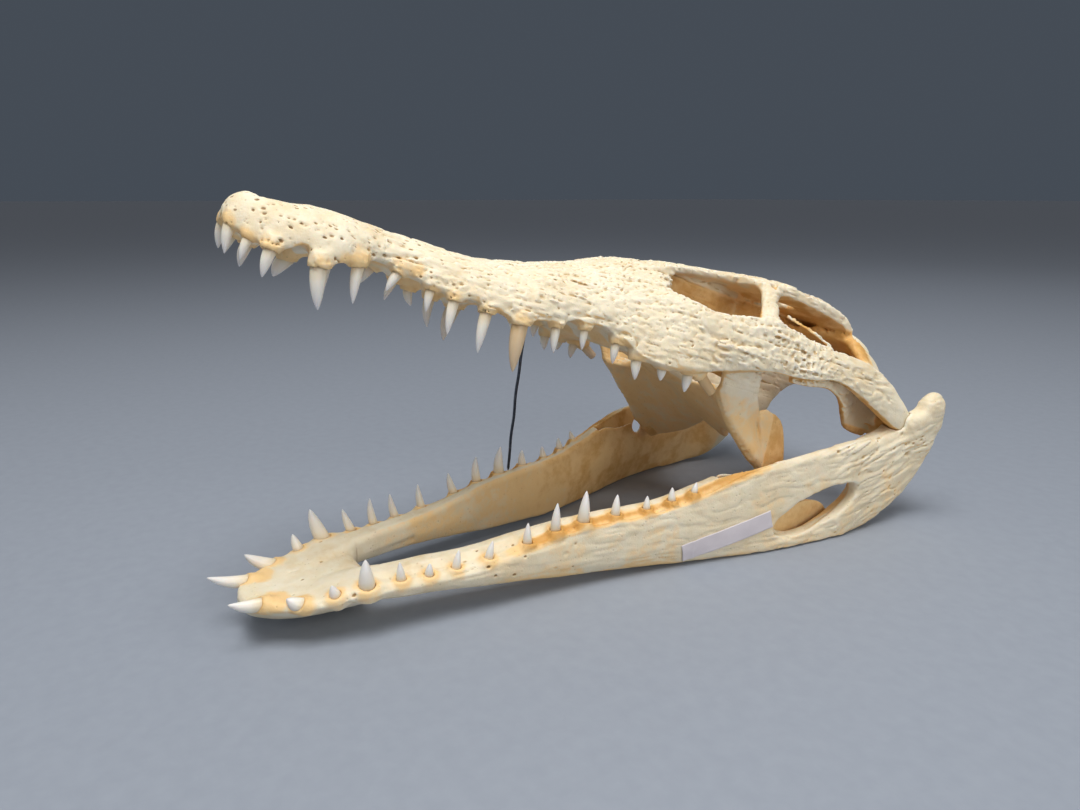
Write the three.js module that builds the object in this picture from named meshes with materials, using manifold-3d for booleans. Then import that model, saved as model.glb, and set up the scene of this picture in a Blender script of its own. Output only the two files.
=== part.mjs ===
// A young crocodile's skull, mouth held open by a steel prop wire.
// Millimetres, +Z up, snout towards -Y, the animal's left side at +X.
// The skull stands on its lower jaw; the origin is the centre of its box at the floor.
//
// The cranium is drawn in its own frame, level along the tooth row: x is sideways, "fwd" runs
// from the jaw joint towards the snout and "up" is square to the tooth row.  It is then
// turned about the jaw joint by the gape.  The lower jaw is drawn in standing position, with
// "back" counted from its first tooth.

import * as THREE from 'three';
import { mergeVertices } from 'three/addons/utils/BufferGeometryUtils.js';
import Module from 'manifold-3d';

const wasm = await Module();
wasm.setup();

// ---------------------------------------------------------------- driving dimensions
const GAPE_TILT = THREE.MathUtils.degToRad(18.4); // tooth row of the cranium above the floor plane
const JOINT_BACK = 311;       // jaw joint behind the first lower tooth
const JOINT_HEIGHT = 51;
const SEAM = 0.3;             // gap left between neighbouring bones
const JOINT_CLEARANCE = 0.5;  // between the quadrate condyle and its socket
const SMALL_TOOTH = 2.75;     // root radius under which a crown has four faces instead of five
const TOOTH_ROOT = 4;         // length of a tooth that sits in its socket

const BONE = { color: 0xe9dcc0, roughness: 0.62, metalness: 0 };
const STEEL = { color: 0x2b2f36, roughness: 0.45, metalness: 0.9 };
const PAPER = { color: 0xeeeaf0, roughness: 0.8, metalness: 0 };

// Cranium stations: [fwd, half width, lower margin, top], from the snout tip to the orbits.
const ROSTRUM = [
  [325.4, 2.4, 3.6, 8], [323.4, 7, 1.8, 12], [319, 12, -0.4, 14.8], [312, 16.8, -2, 16.8], [301, 20.2, 1.4, 17.2],
  [295, 22.2, -3.2, 17.4], [280, 18.3, 1.2, 17.3], [271, 15.2, 4.2, 17.2], [263, 15.6, 3.2, 16.9],
  [254, 19.5, 0.6, 17.1], [244, 23.5, -1, 17.1], [232, 27.8, -0.6, 17.4], [220, 31.2, -3.3, 19.3], [209, 32, -1.2, 21.8],
  [198, 31.2, 0.6, 24.5], [179, 32.4, 3.6, 30.4], [168, 36, 0.2, 34.6], [156, 41.2, -3.8, 38.2],
  [143, 46.6, -4.2, 40.2],
];
// Lower jaw stations behind the first tooth, where both halves are fused: [back, half width, keel, top].
const SYMPHYSIS = [
  [-3.6, 4, 12.5, 15.4], [-1.6, 10, 9, 17.4], [3.6, 15, 5.8, 18], [9, 18.8, 3.6, 18.2], [19, 24.2, 1.4, 18.8],
  [30, 27.6, 0.4, 20.4], [38, 29.6, 0.3, 21.2], [46, 30.4, 2.6, 21],
];
// One lower jaw half: [back, x of the outer face, x of the keel, keel height, tooth row height, thickness, inner crest].
const RAMUS = [
  [26, 20, 6, 12.6, 18, 12, 0], [38, 27.6, 12, 11.4, 20.4, 17, 0.6], [50, 31, 18, 10.4, 20.6, 18.2, 2.4],
  [70, 33.6, 22.8, 9.8, 20.8, 17.4, 3], [104, 37.6, 28.4, 6.6, 25.2, 14.8, 2],
  [122, 39.6, 31, 4.2, 28.6, 13, 1.2], [142, 42.8, 34, 2.6, 30, 12.2, 0.8],
  [182, 51, 44.5, 0.2, 34.4, 12, 0.6], [203, 55.8, 51.4, 0, 40.4, 12.4, 0], [224, 60.4, 58.6, 0, 44.2, 12.6, 0],
  [268, 67.4, 65, 0, 47.6, 13.4, 0], [285, 69.4, 65.8, 0.2, 48.4, 14.6, 0],
];
const LABEL = { front: 178, rear: 223.6, lowFront: 2.8, lowRear: 13.4, width: 8.8, thickness: 0.5 };
const FENESTRA = { back: 250.5, height: 17.5, halfLength: 25, halfHeight: 7.6, rise: 0.3 };
const INNER_WINDOW = { back: 259, height: 23, halfLength: 15.5, halfHeight: 4.2, rise: 0.2 };

// Upper teeth: [fwd, x, up, crown length, root radius, backward lean].
const UPPER_TEETH = [
  [323, 5, 2.6, 10.4, 2.2, 0.04], [317.6, 11.4, -0.4, 8, 2, -0.16], [311, 16.6, -2, 10, 2.5, -0.1],
  [295, 20, -3.2, 14.8, 3.3, 0.16], [280.4, 16.6, 0.8, 13.4, 2.5, 0.12], [263.8, 13.4, 2.6, 8.6, 2.2, -0.4],
  [251.4, 17.6, 0, 8.6, 2.1, 0.04], [242.7, 21.6, -1.4, 13.2, 2.5, 0.02], [230, 25.4, -2.6, 16, 2.8, 0.04],
  [215.8, 28.4, -3.2, 19.6, 3.8, 0.1], [198.8, 28.2, -0.6, 10.4, 2.4, 0.14], [184.6, 28.2, 1.8, 8.6, 2.2, 0.16],
  [169, 31.4, 0, 8.8, 2.4, 0.16], [159, 35.4, -4, 9, 2.7, 0.2], [147, 39.4, -4.6, 6, 2.5, 0.1],
  [134.6, 43, -4.4, 8.4, 2.7, 0.02], [127.4, 43.6, -4, 5.2, 2.8, 1],
];
// Lower teeth: [back, x, height, root radius, tip of the left one (x, back, height), tip of the right one].
const LOWER_TEETH = [
  [2.2, 11, 14, 2.9, 10.4, -9.6, 20, 12.2, -12.4, 22], [14.6, 19.4, 15.4, 3, 18.4, 9.4, 20.6, 20, 3.6, 24.4],
  [26.6, 23.4, 18, 2.4, 24.2, 24.8, 24.2, 25, 24.5, 26.4], [38, 26, 19.6, 3.4, 27, 37.4, 32.6, 27, 33.1, 35],
  [51.2, 27.6, 20, 2.2, 28, 50.6, 28.4, 28, 47.6, 31.5], [62.1, 29, 19.6, 2.2, 30, 62.2, 25.6, 29, 60.6, 33.5],
  [73.2, 30.4, 20, 2.2, 30.6, 74.8, 28.4, 30, 70.6, 33], [87.1, 32, 21.2, 2.2, 32.3, 89.2, 29.4, 32, 85.4, 34.1],
  [104.9, 33.6, 24.6, 2.3, 33.8, 105.2, 34, 33.5, 101.9, 36], [118, 34.8, 27.8, 2.6, 35, 119.1, 40.1, 35, 118, 40.8],
  [131.5, 36.2, 29, 3.1, 36.2, 133.2, 43, 36, 132.6, 43.2], [146.9, 38.6, 29.4, 2.4, 38.4, 148.3, 38.9, 38, 146.3, 38.4],
  [162.2, 41.6, 29.8, 2.1, 41.4, 162.7, 36.1, 41, 160.5, 37.1], [174.4, 44.4, 32, 2.2, 44.2, 174.7, 38.5, 44, 172.8, 38.8],
  [185, 47.2, 34.4, 2, 47, 186.6, 39.4, 47, 182.6, 40.4],
];

// ---------------------------------------------------------------- helpers
const vec = (x, y, z) => new THREE.Vector3(x, y, z);
const skullPoint = (x, fwd, up) => vec(x, -fwd, up);      // a point of the cranium's own frame
const mix = (a, b, t) => a + (b - a) * t;

// A closed body through rings of equal length, each cap a fan about the ring's middle or a tip.
function loft(rings, tip = null) {
  const count = rings[0].length;
  const points = rings.flat();
  const middle = (ring) => ring.reduce((sum, p) => sum.add(p), vec(0, 0, 0)).divideScalar(count);
  const first = points.push(middle(rings[0])) - 1;
  const last = points.push(tip ?? middle(rings[rings.length - 1])) - 1;
  const faces = [];
  for (let r = 0; r < rings.length - 1; r++) {
    for (let i = 0; i < count; i++) {
      const a = r * count + i;
      const b = r * count + (i + 1) % count;
      faces.push(a, b, a + count, b, b + count, a + count);
    }
  }
  const end = (rings.length - 1) * count;
  for (let i = 0; i < count; i++) {
    const j = (i + 1) % count;
    faces.push(first, j, i, last, end + i, end + j);
  }
  const geometry = new THREE.BufferGeometry();
  geometry.setAttribute('position', new THREE.Float32BufferAttribute(points.flatMap((p) => p.toArray()), 3));
  geometry.setIndex(faces);
  return toSolid(geometry);
}

// A three.js geometry as a solid with its faces pointing out.
function toSolid(source) {
  const bare = source.clone();
  bare.deleteAttribute('normal');
  bare.deleteAttribute('uv');
  const merged = mergeVertices(bare, 1e-5);
  const position = merged.getAttribute('position').array;
  const index = Array.from(merged.getIndex().array);
  let volume = 0;
  const corner = (k) => vec(position[3 * k], position[3 * k + 1], position[3 * k + 2]);
  for (let i = 0; i < index.length; i += 3) {
    volume += corner(index[i]).dot(corner(index[i + 1]).cross(corner(index[i + 2])));
  }
  if (volume < 0) index.reverse();
  const mesh = new wasm.Mesh({
    numProp: 3, vertProperties: new Float32Array(position), triVerts: new Uint32Array(index),
  });
  return new wasm.Manifold(mesh);
}

// The cranium's frame: turned up about the jaw joint.
const tilted = new THREE.Group();
tilted.position.set(0, JOINT_BACK, JOINT_HEIGHT);
tilted.rotation.x = -GAPE_TILT;
tilted.updateMatrix();

const join = (...solids) => solids.flat().reduce((all, one) => all.add(one));

// A superelliptic ring about a centre, spanned by two half axes; power 2 is an ellipse.
function ring(centre, across, along, power = 2, sides = 12) {
  const points = [];
  for (let i = 0; i < sides; i++) {
    const angle = (2 * Math.PI * (i + 0.5)) / sides;
    const c = Math.cos(angle);
    const s = Math.sin(angle);
    const a = Math.sign(c) * Math.abs(c) ** (2 / power);
    const b = Math.sign(s) * Math.abs(s) ** (2 / power);
    points.push(centre.clone().addScaledVector(across, a).addScaledVector(along, b));
  }
  return points;
}

// A bar whose stations are [centre, across, along]; all three are vectors.
const bar = (stations, power = 2.4, sides = 12) =>
  loft(stations.map(([centre, across, along]) => ring(centre, across, along, power, sides)));

const moved = (solid, matrix) => toSolid(asGeometry(solid).applyMatrix4(matrix));
const MIRROR = new THREE.Matrix4().makeScale(-1, 1, 1);
const bothSides = (solid) => solid.add(moved(solid, MIRROR));

// A conical crown with a slight curve, sunk by its root into the jaw.
function tooth(base, direction, length, radius, curve) {
  const axis = direction.clone().normalize();
  const side = vec(1, 0, 0).cross(axis).normalize();
  const other = axis.clone().cross(side);
  const along = (t) => base.clone().addScaledVector(axis, t * length).addScaledVector(curve, t * t);
  const sides = radius < SMALL_TOOTH ? 4 : 5;
  const steps = [[-TOOTH_ROOT / length, 0.95], [0.34, 0.88]];
  const rings = steps.map(([t, swell]) => {
    const r = radius * swell;
    return ring(along(t), side.clone().multiplyScalar(r), other.clone().multiplyScalar(r), 2, sides);
  });
  return loft(rings, along(1));
}

// The half space beyond a plane, as a block large enough for this skull.
function beyond(point, normal) {
  const reach = 900;
  const block = new THREE.BoxGeometry(reach, reach, reach);
  block.translate(0, 0, reach / 2);
  block.applyQuaternion(new THREE.Quaternion().setFromUnitVectors(vec(0, 0, 1), normal.clone().normalize()));
  block.translate(point.x, point.y, point.z);
  return toSolid(block);
}

// The block common to several half spaces, each drawn in (or let out) by half a seam.
function region(planes, inset) {
  return planes.map(([point, normal]) => {
    const unit = normal.clone().normalize();
    return beyond(point.clone().addScaledVector(unit, inset * SEAM / 2), unit);
  }).reduce((all, one) => all.intersect(one));
}
const keep = (solid, planes) => solid.intersect(region(planes, 1));
const leaveOut = (solid, planes) => solid.subtract(region(planes, -1));

function asGeometry(solid) {
  const { vertProperties, triVerts, numProp } = solid.getMesh();
  const position = [];
  for (let i = 0; i < vertProperties.length; i += numProp) {
    position.push(vertProperties[i], vertProperties[i + 1], vertProperties[i + 2]);
  }
  const geometry = new THREE.BufferGeometry();
  geometry.setAttribute('position', new THREE.Float32BufferAttribute(position, 3));
  geometry.setIndex(Array.from(triVerts));
  return geometry;
}

function asMesh(name, solid, look) {
  const geometry = asGeometry(solid);
  geometry.computeVertexNormals();
  const mesh = new THREE.Mesh(geometry, new THREE.MeshStandardMaterial(look));
  mesh.name = name;
  return mesh;
}

// ---------------------------------------------------------------- snout
// Domed above, with a vaulted palate between the two tooth-bearing margins.
function rostrumRing([fwd, half, low, top]) {
  const vault = Math.min(4, (top - low) / 4);
  const palate = [[0, vault], [0.55 * half, 0.8 * vault], [Math.max(0.4 * half, half - 6), 0.3], [half - 0.06 * half, 0]];
  const dome = 4;
  const right = palate.map(([x, rise]) => [x, low + rise]);
  for (let i = 0; i <= dome; i++) {
    const angle = (Math.PI / 2) * (i / dome);
    const base = low + 1.4;
    right.push([half * Math.cos(angle) ** 0.93, base + (top - base) * Math.sin(angle) ** 0.93]);
  }
  right[right.length - 1][0] = 0;
  const left = right.slice(1, -1).reverse().map(([x, up]) => [-x, up]);
  return [...right, ...left].map(([x, up]) => skullPoint(x, fwd, up));
}

function upperTooth([fwd, x, up, length, radius, lean]) {
  const direction = vec(0.05, lean, -1);
  return tooth(skullPoint(x, fwd, up), direction, length, radius, vec(0, 0.05 * length, 0));
}

function snout() {
  const nostril = bar([
    [skullPoint(0, 309, 8.5), vec(6, 0, 0), vec(0, 6.5, 0)],
    [skullPoint(0, 309, 13), vec(8.5, 0, 0), vec(0, 9, 0)],
    [skullPoint(0, 309, 22), vec(9, 0, 0), vec(0, 9.5, 0)],
  ], 2, 8);
  const body = loft(ROSTRUM.map(rostrumRing)).subtract(nostril);
  return join(body, UPPER_TEETH.map((row) => bothSides(upperTooth(row))));
}

// ---------------------------------------------------------------- roof and braincase
// The frontal strip between the orbits, widening back into the flat skull table.
function roof() {
  const stations = [
    [156, 15, 32, 37], [144, 20, 35, 40.4], [135, 18.6, 37.6, 42.6], [113, 13.4, 42, 46.6],
    [104, 14.6, 43, 47.9], [91, 29, 43.6, 50.2], [82, 33.6, 43, 51.2], [70, 35, 42.4, 51.8],
    [54, 36, 41.6, 51], [35, 37.2, 39.4, 49.6], [28, 37.6, 37.6, 46.6], [22, 37.4, 35.6, 43.6],
  ];
  const strip = bar(stations.map(([fwd, half, low, top]) =>
    [skullPoint(0, fwd, (low + top) / 2), vec(half, 0, 0), vec(0, 0, (top - low) / 2)]), 4, 8);
  const opening = bar([
    [skullPoint(18, 60, 30), vec(5, 0, 0), vec(0, 8, 0)],
    [skullPoint(18, 60, 60), vec(8.4, 0, 0), vec(0, 11.6, 0)],
  ], 2, 8);
  return strip.subtract(bothSides(opening));
}

function braincase() {
  const stations = [
    [90, 5, 36, 44.5], [56, 10.6, 4, 44], [48, 11, -8, 44],
    [41, 12, -13.6, 44], [26, 14, 0.4, 44], [18, 14, 5.6, 43], [13, 11, 9, 38],
  ];
  const body = bar(stations.map(([fwd, half, low, top]) =>
    [skullPoint(0, fwd, (low + top) / 2), vec(half, 0, 0), vec(0, 0, (top - low) / 2)]), 3, 8);
  const septum = bar([ // the thin wall that hangs from the roof between the orbits
    [skullPoint(0, 126, 36.6), vec(5, 0, 0), vec(0, 0, 6.4)],
    [skullPoint(0, 106, 35.6), vec(6, 0, 0), vec(0, 0, 8.4)],
    [skullPoint(0, 84, 33), vec(7, 0, 0), vec(0, 0, 11)],
  ], 3, 6);
  const spinalHole = bar([
    [skullPoint(0, 22, 25), vec(3.5, 0, 0), vec(0, 0, 3)],
    [skullPoint(0, 6, 25), vec(5, 0, 0), vec(0, 0, 4.2)],
  ], 2, 6);
  const condyle = bar([
    [skullPoint(0, 18, 16), vec(5, 0, 0), vec(0, 0, 4.6)],
    [skullPoint(0, 9, 15), vec(5.4, 0, 0), vec(0, 0, 4.8)],
    [skullPoint(0, 6, 15), vec(3, 0, 0), vec(0, 0, 2.6)],
  ], 2, 6);
  const wing = bar([
    [skullPoint(4, 19, 33), vec(0, 4, 0), vec(0, 0, 10)],
    [skullPoint(22, 14, 33), vec(0, 4, 0), vec(0, 0, 9)],
    [skullPoint(33.4, 3, 30.4), vec(0, 4.5, 0), vec(0, 0, 6)],
    [skullPoint(35.2, -3.6, 27.6), vec(0, 2, 0), vec(0, 0, 2.6)],
  ], 2.6, 8);
  return join(body.subtract(spinalHole), septum, condyle, bothSides(wing));
}

// ---------------------------------------------------------------- cheek
// The jugal and quadratojugal bar under the orbit and the lateral temporal opening.
function cheekBar(grow) {
  const stations = [ // [fwd, low x, low, high x, high, half thickness]
    [155, 36.6, -2.6, 29, 23, 4.4], [143, 43, -4, 38, 32, 4.8], [134, 46.6, -2.8, 42, 30, 4.5],
    [122, 49.5, 0.8, 45.8, 26.6, 4], [108, 53, 4.4, 48, 28, 3.8], [84, 56.6, 7, 51.4, 28.4, 3.5],
    [72, 58.4, 8.2, 53, 26.6, 3.4], [58, 60, 10.6, 54.6, 25.6, 3.4], [44, 61.6, 9, 56.6, 25, 3.5],
    [30, 62.6, 4.4, 58.6, 23.6, 3.6], [17, 63.4, 0.4, 61, 18.6, 3.8], [6, 64.4, -3, 63.4, 12, 3.6], [-3, 64.6, -3.4, 64.6, 6, 2.6],
  ];
  return bar(stations.map(([fwd, lowX, low, highX, high, thick]) => [
    skullPoint((lowX + highX) / 2, fwd, (low + high) / 2),
    vec(thick + grow, 0, 0),
    vec((highX - lowX) / 2, 0, (high - low) / 2 + grow),
  ]), 3, 8);
}

function postorbitalPillar() {
  return bar([
    [skullPoint(30, 84, 47), vec(4.6, 0, 0), vec(0, 6.4, 0)],
    [skullPoint(33.4, 87, 42.6), vec(4, 0, 0), vec(0, 5.4, 0)],
    [skullPoint(42, 93.6, 33.6), vec(3.6, 0, 0), vec(0, 4.6, 0)],
    [skullPoint(50, 98, 24), vec(4, 0, 0), vec(0, 7, 0)],
  ], 2, 8);
}

// The roller that turns in the lower jaw's socket, its inner half the larger and lower.
function quadrateCondyle(grow) {
  const stations = [[42, -1, -3.2, 4.2], [47, -2, -3, 6.2], [54, -2, -0.6, 5.4], [61, -2, 1, 5.4], [66.6, -2, 1.2, 3.6]];
  return bar(stations.map(([x, fwd, up, radius]) =>
    [skullPoint(x, fwd, up), vec(0, radius + grow, 0), vec(0, 0, radius + grow)]), 2, 8);
}

// The quadrate leaves the braincase and slopes down, back and out to the jaw joint.
function quadrate(grow) {
  const stations = [ // [x, fwd, up, half width, rise of the front edge, half thickness]
    [8, 36, 29, 9, 4, 5], [26, 24, 32, 11, 4, 4.2], [38, 12, 30, 14, 4.5, 3.8], [49, 12, 20, 14, 6, 3.4],
    [58, 11, 11.4, 14, 7, 3.6], [62, 7, 4, 11, 5, 4],
  ];
  const body = bar(stations.map(([x, fwd, up, wide, rise, thick]) => [
    skullPoint(x, fwd, up),
    vec(0, -wide - grow, rise),
    vec(0.6, 0.27, 0.71).multiplyScalar(thick + grow),
  ]), 2.8, 8);
  const flange = bar([
    [skullPoint(34, 16, 26), vec(2.6, 0, 0), vec(0, 9, 0)],
    [skullPoint(42, 8, 10), vec(2.8, 0, 0), vec(0, 8.8, 0)],
    [skullPoint(47, 2, -3.6), vec(4 + grow, 0, 0), vec(0, 6 + grow, 0)],
  ], 2.6, 8);
  const stops = [ // the inner wall under the rear cheek: [x, fwd, lower edge, upper edge, half thickness]
    [54, 78, 5, 13, 2], [54.6, 54, 6.6, 17, 2.2], [54, 43, 4.6, 18, 2.2], [49.4, 27, -5, 20, 2.4], [46, 11, -10.6, 14, 2.6],
    [46, 2, -11, 8, 2.6],
  ];
  const curtain = bar(stops.map(([x, fwd, low, high, thick]) =>
    [skullPoint(x, fwd, (low + high) / 2), vec(thick + grow, 0, 0), vec(0, 0, (high - low) / 2 + grow)]), 3, 8);
  return join(body, flange, curtain, quadrateCondyle(grow));
}

// ---------------------------------------------------------------- palate
// The palatine bar runs back between the suborbital openings to the pterygoids.
function palate() {
  const stations = [
    [158, 19, 0.4, 10], [138, 14, -1.6, 9], [122, 12, -5.4, 7], [95, 13, -11.6, 2], [80, 14, -14.6, 0],
    [46, 12, -15, -2.6], [37, 10, -13, -4],
  ];
  const palatines = bar(stations.map(([fwd, half, low, top]) =>
    [skullPoint(0, fwd, (low + top) / 2), vec(half, 0, 0), vec(0, 0, (top - low) / 2)]), 3, 8);
  const wing = bar([ // a sloping sheet from the midline out and down to the wing's tip
    [skullPoint(0, 85, -14), vec(0, 17, -9), vec(0, 2.4, 4)],
    [skullPoint(18, 82, -19.6), vec(0, 20, -13), vec(0, 1.7, 2.6)],
    [skullPoint(32, 84, -22), vec(0, 21, -17), vec(0.6, 1.5, 2)],
    [skullPoint(40, 79, -27.5), vec(0, 17, -14.5), vec(1.7, 1, 1.3)],
    [skullPoint(43.4, 70, -39), vec(0, 7, -5), vec(1.5, 0, 1)],
  ], 2.6, 8);
  const strut = bar([ // the ectopterygoid, from inside the cheek down the front of the wing
    [skullPoint(50, 111, 12), vec(3.2, 0, 0), vec(0, 14, 0)],
    [skullPoint(46.6, 105, 3), vec(2.8, 0, 0), vec(0, 13, 0)],
    [skullPoint(41, 93, -12.6), vec(2.4, 0, 0), vec(0, 13, 0)],
    [skullPoint(40, 87.2, -19.4), vec(2.4, 0, 0), vec(0, 11.4, 0)],
    [skullPoint(40.8, 79.4, -28), vec(2.4, 0, 0), vec(0, 7.6, 0)],
    [skullPoint(43.4, 69.4, -39.4), vec(1.8, 0, 0), vec(0, 2.4, 0)],
  ], 2.4, 8);
  const torus = bar([ // the thick rear rim of the wing
    [skullPoint(42, 70.4, -18), vec(2.3, 0, 0), vec(0, 8.4, 1.4)],
    [skullPoint(43, 64.4, -32), vec(2.4, 0, 0), vec(0, 8.6, 0)],
    [skullPoint(43.6, 62, -42.4), vec(1.8, 0, 0), vec(0, 4, 0)],
  ], 3.4, 8);
  const notch = bar([ // broken out of the left wing's rear edge
    [skullPoint(23.5, 62, -18), vec(11.5, 0, 0), vec(0, 21.5, 0)],
    [skullPoint(23.5, 62, -52), vec(11.5, 0, 0), vec(0, 21.5, 0)],
  ], 2, 8);
  return join(palatines, bothSides(wing).subtract(notch), bothSides(join(strut, torus)));
}

// ---------------------------------------------------------------- lower jaw
const HULL_POWER = 1.78;      // above 1 draws the underside of the chin in to a keel

function symphysisRing([back, half, keel, top]) {
  const deck = [[0, 0], [0.45 * half, 0], [0.8 * half, 0.4], [0.95 * half, -0.4]];
  const hull = 4;
  const right = deck.map(([x, rise]) => [x, top + rise]);
  for (let i = 0; i <= hull; i++) {
    const angle = (Math.PI / 2) * (i / hull);
    const rim = top - 2.4;
    right.push([half * Math.cos(angle) ** HULL_POWER, rim - (rim - keel) * Math.sin(angle) ** HULL_POWER]);
  }
  right[right.length - 1][0] = 0;
  const left = right.slice(1, -1).reverse().map(([x, z]) => [-x, z]);
  return [...right, ...left].map(([x, z]) => vec(x, back, z));
}

// One upright plate of the jaw, thicker below the tooth row and narrowing to its keel.
function ramusRing([back, outer, keelX, keel, top, thick, crest]) {
  const height = top - keel;
  const inner = outer - thick;
  const section = [
    [outer - 2, top - 0.6], [outer, top - 0.2 * height], [outer, keel + 0.34 * height],
    [mix(outer, keelX, 0.45), keel + 0.1 * height], [keelX + 1.5, keel],
    [keelX - 2.5, keel], [Math.min(keelX - 4, inner + 3), keel + 0.12 * height], [inner, keel + 0.5 * height],
    [inner + 0.6, top + crest - 2.4], [inner + 3, top + crest], [outer - 6.5, top + 0.4 * crest],
  ];
  return section.map(([x, z]) => vec(x, back, z));
}

// Behind its last station the plate sweeps up past the joint socket to the retroarticular process.
function jawEnd() {
  const stations = [ // [x, half thickness, lower edge back, height, upper edge back, height]
    [61.8, 6.8, 281, -0.4, 281, 48.6], [61.6, 7.6, 296, 2, 295, 49], [61.4, 8.2, 308.4, 7.9, 303, 49.6],
    [62, 8.4, 318.4, 14.6, 307.6, 52.4], [64.4, 8, 325, 25, 309.4, 55], [67.6, 6.6, 331.4, 39, 314.6, 57.4],
    [70, 5, 335.2, 54, 318, 62.4], [70.5, 2.8, 330.4, 65.2, 322, 66.8],
  ];
  return bar(stations.map(([x, thick, lowBack, low, highBack, high]) => [
    vec(x, (lowBack + highBack) / 2, (low + high) / 2),
    vec(thick, 0, 0),
    vec(0, (highBack - lowBack) / 2, (high - low) / 2),
  ]), 3, 8);
}

// A slot through the plate, as an ellipse whose long axis rises towards the back.
function ovalHole({ back, height, halfLength, halfHeight, rise }, fromX, toX) {
  const along = vec(0, 1, rise).normalize().multiplyScalar(halfLength);
  const across = vec(0, -rise, 1).normalize().multiplyScalar(halfHeight);
  return bar([fromX, toX].map((x) => [vec(x, back, height), along, across]), 2.2, 9);
}

// A lower tooth: the front two sweep forwards and then curl up, the others stand nearly straight.
function lowerTooth(base, tip, radius) {
  const reach = tip.clone().sub(base);
  const curl = Math.max(0, -reach.y) / reach.length();
  const curve = vec(0, 0, 0.2 * reach.length() * curl);
  return tooth(base, reach.clone().sub(curve), reach.clone().sub(curve).length(), radius, curve);
}

function lowerJaw() {
  const socket = moved(join(quadrate(JOINT_CLEARANCE), cheekBar(JOINT_CLEARANCE)), tilted.matrix);
  const fossa = bar([ // the muscle's hollow, open above, inside the high rear part of the plate
    [vec(43, 204, 49), vec(5, 0, 0), vec(0, 0, 7)],
    [vec(48, 222, 50), vec(6.4, 0, 0), vec(0, 0, 10.4)],
    [vec(52.4, 262, 51), vec(7, 0, 0), vec(0, 0, 11)],
    [vec(54, 282, 52), vec(5, 0, 0), vec(0, 0, 6)],
  ], 3, 8);
  const plate = join(loft(RAMUS.map(ramusRing)), jawEnd())
    .subtract(ovalHole(FENESTRA, 57, 90))
    .subtract(fossa)
    .subtract(socket);
  const left = plate.subtract(ovalHole(INNER_WINDOW, 30, 90));
  const right = plate.subtract(bar([ // a small slanting hole through the right half
    [vec(40, 223.4, 38.9), vec(0, 3, 0), vec(0, 0, 4.4)],
    [vec(75, 252.8, 25.6), vec(0, 3, 0), vec(0, 0, 4.4)],
  ], 2, 8));
  const teeth = LOWER_TEETH.map(([back, x, height, radius, ...tips]) => [
    lowerTooth(vec(x, back, height), vec(...tips.slice(0, 3)), radius),
    lowerTooth(vec(-x, back, height), vec(-tips[3], tips[4], tips[5]), radius),
  ]);
  return join(loft(SYMPHYSIS.map(symphysisRing)), left, moved(right, MIRROR), teeth.flat());
}

// ---------------------------------------------------------------- wire and label
function propWire() {
  const radius = 0.65;
  const low = vec(-37, 137.5, 30.4);
  const high = vec(-8.4, 131.9, 115.5);
  const points = [0, 0.3, 0.62, 1].map((t) =>
    low.clone().lerp(high, t).add(vec(0, -0.8 * Math.sin(Math.PI * t), 0)));
  const profile = new THREE.Shape().absarc(0, 0, radius, 0, 2 * Math.PI);
  const geometry = new THREE.ExtrudeGeometry(profile, {
    steps: 8, curveSegments: 2, extrudePath: new THREE.CatmullRomCurve3(points),
  });
  return toSolid(geometry);
}

// x of the left jaw half's outer face at a place along it and a height.
function outerFace(back, height) {
  const after = RAMUS.findIndex((row) => row[0] >= back);
  const [front, rear] = [RAMUS[after - 1], RAMUS[after]];
  const row = front.map((value, k) => mix(value, rear[k], (back - front[0]) / (rear[0] - front[0])));
  const face = ramusRing(row).slice(0, 5).reverse();
  const above = Math.max(1, face.findIndex((p) => p.z >= height));
  const [low, high] = [face[above - 1], face[above]];
  return mix(low.x, high.x, (height - low.z) / (high.z - low.z));
}

// A paper strip stuck along the outer face of the left jaw half.
function label() {
  const columns = 4;
  const rows = 3;
  const rings = [];
  for (let c = 0; c <= columns; c++) {
    const back = mix(LABEL.front, LABEL.rear, c / columns);
    const low = mix(LABEL.lowFront, LABEL.lowRear, c / columns);
    const heights = Array.from({ length: rows + 1 }, (_, k) => low + LABEL.width * (k / rows));
    const inside = heights.map((z) => vec(outerFace(back, z) + SEAM, back, z));
    const outside = inside.map((p) => p.clone().add(vec(LABEL.thickness, 0, 0))).reverse();
    rings.push([...inside, ...outside]);
  }
  return loft(rings);
}

// ---------------------------------------------------------------- parting
const FRONT = vec(0, -1, 0);
const BACK = vec(0, 1, 0);
const DOWN = vec(0, 0, -1);
const LEFT = vec(1, 0, 0);
const RIGHT = vec(-1, 0, 0);
const premaxillaryWaist = skullPoint(0, 271, 0);
const orbitFront = skullPoint(0, 122.5, 0);
const wingLevel = skullPoint(0, 0, -4.4);
const wingRear = skullPoint(0, 27, 0);
const palatineRear = skullPoint(0, 48.5, -1);
const belowPalatines = vec(0, -0.149, -1);
const palatineHalf = 30;
const cheekEdge = (side) => [skullPoint(30 * side, 0, 10), vec(side, 0, -0.35)];
const roofEdge = (side) => [skullPoint(30 * side, 0, 10), vec(-side, 0, 0.35)];

const cranium = join(
  snout(), roof(), braincase(), bothSides(join(cheekBar(0), postorbitalPillar(), quadrate(0))), palate());
const jaw = lowerJaw();
const rear = keep(cranium, [[orbitFront, BACK]]);
const wings = [[wingLevel, DOWN], [wingRear, FRONT]];
const palatines = [
  [palatineRear, belowPalatines], [palatineRear, FRONT], [vec(palatineHalf, 0, 0), RIGHT], [vec(-palatineHalf, 0, 0), LEFT],
];
const behindPalate = leaveOut(leaveOut(rear, wings), palatines);
const palateBones = rear.intersect(join(region(wings, 1), region(palatines, 1)));

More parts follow.
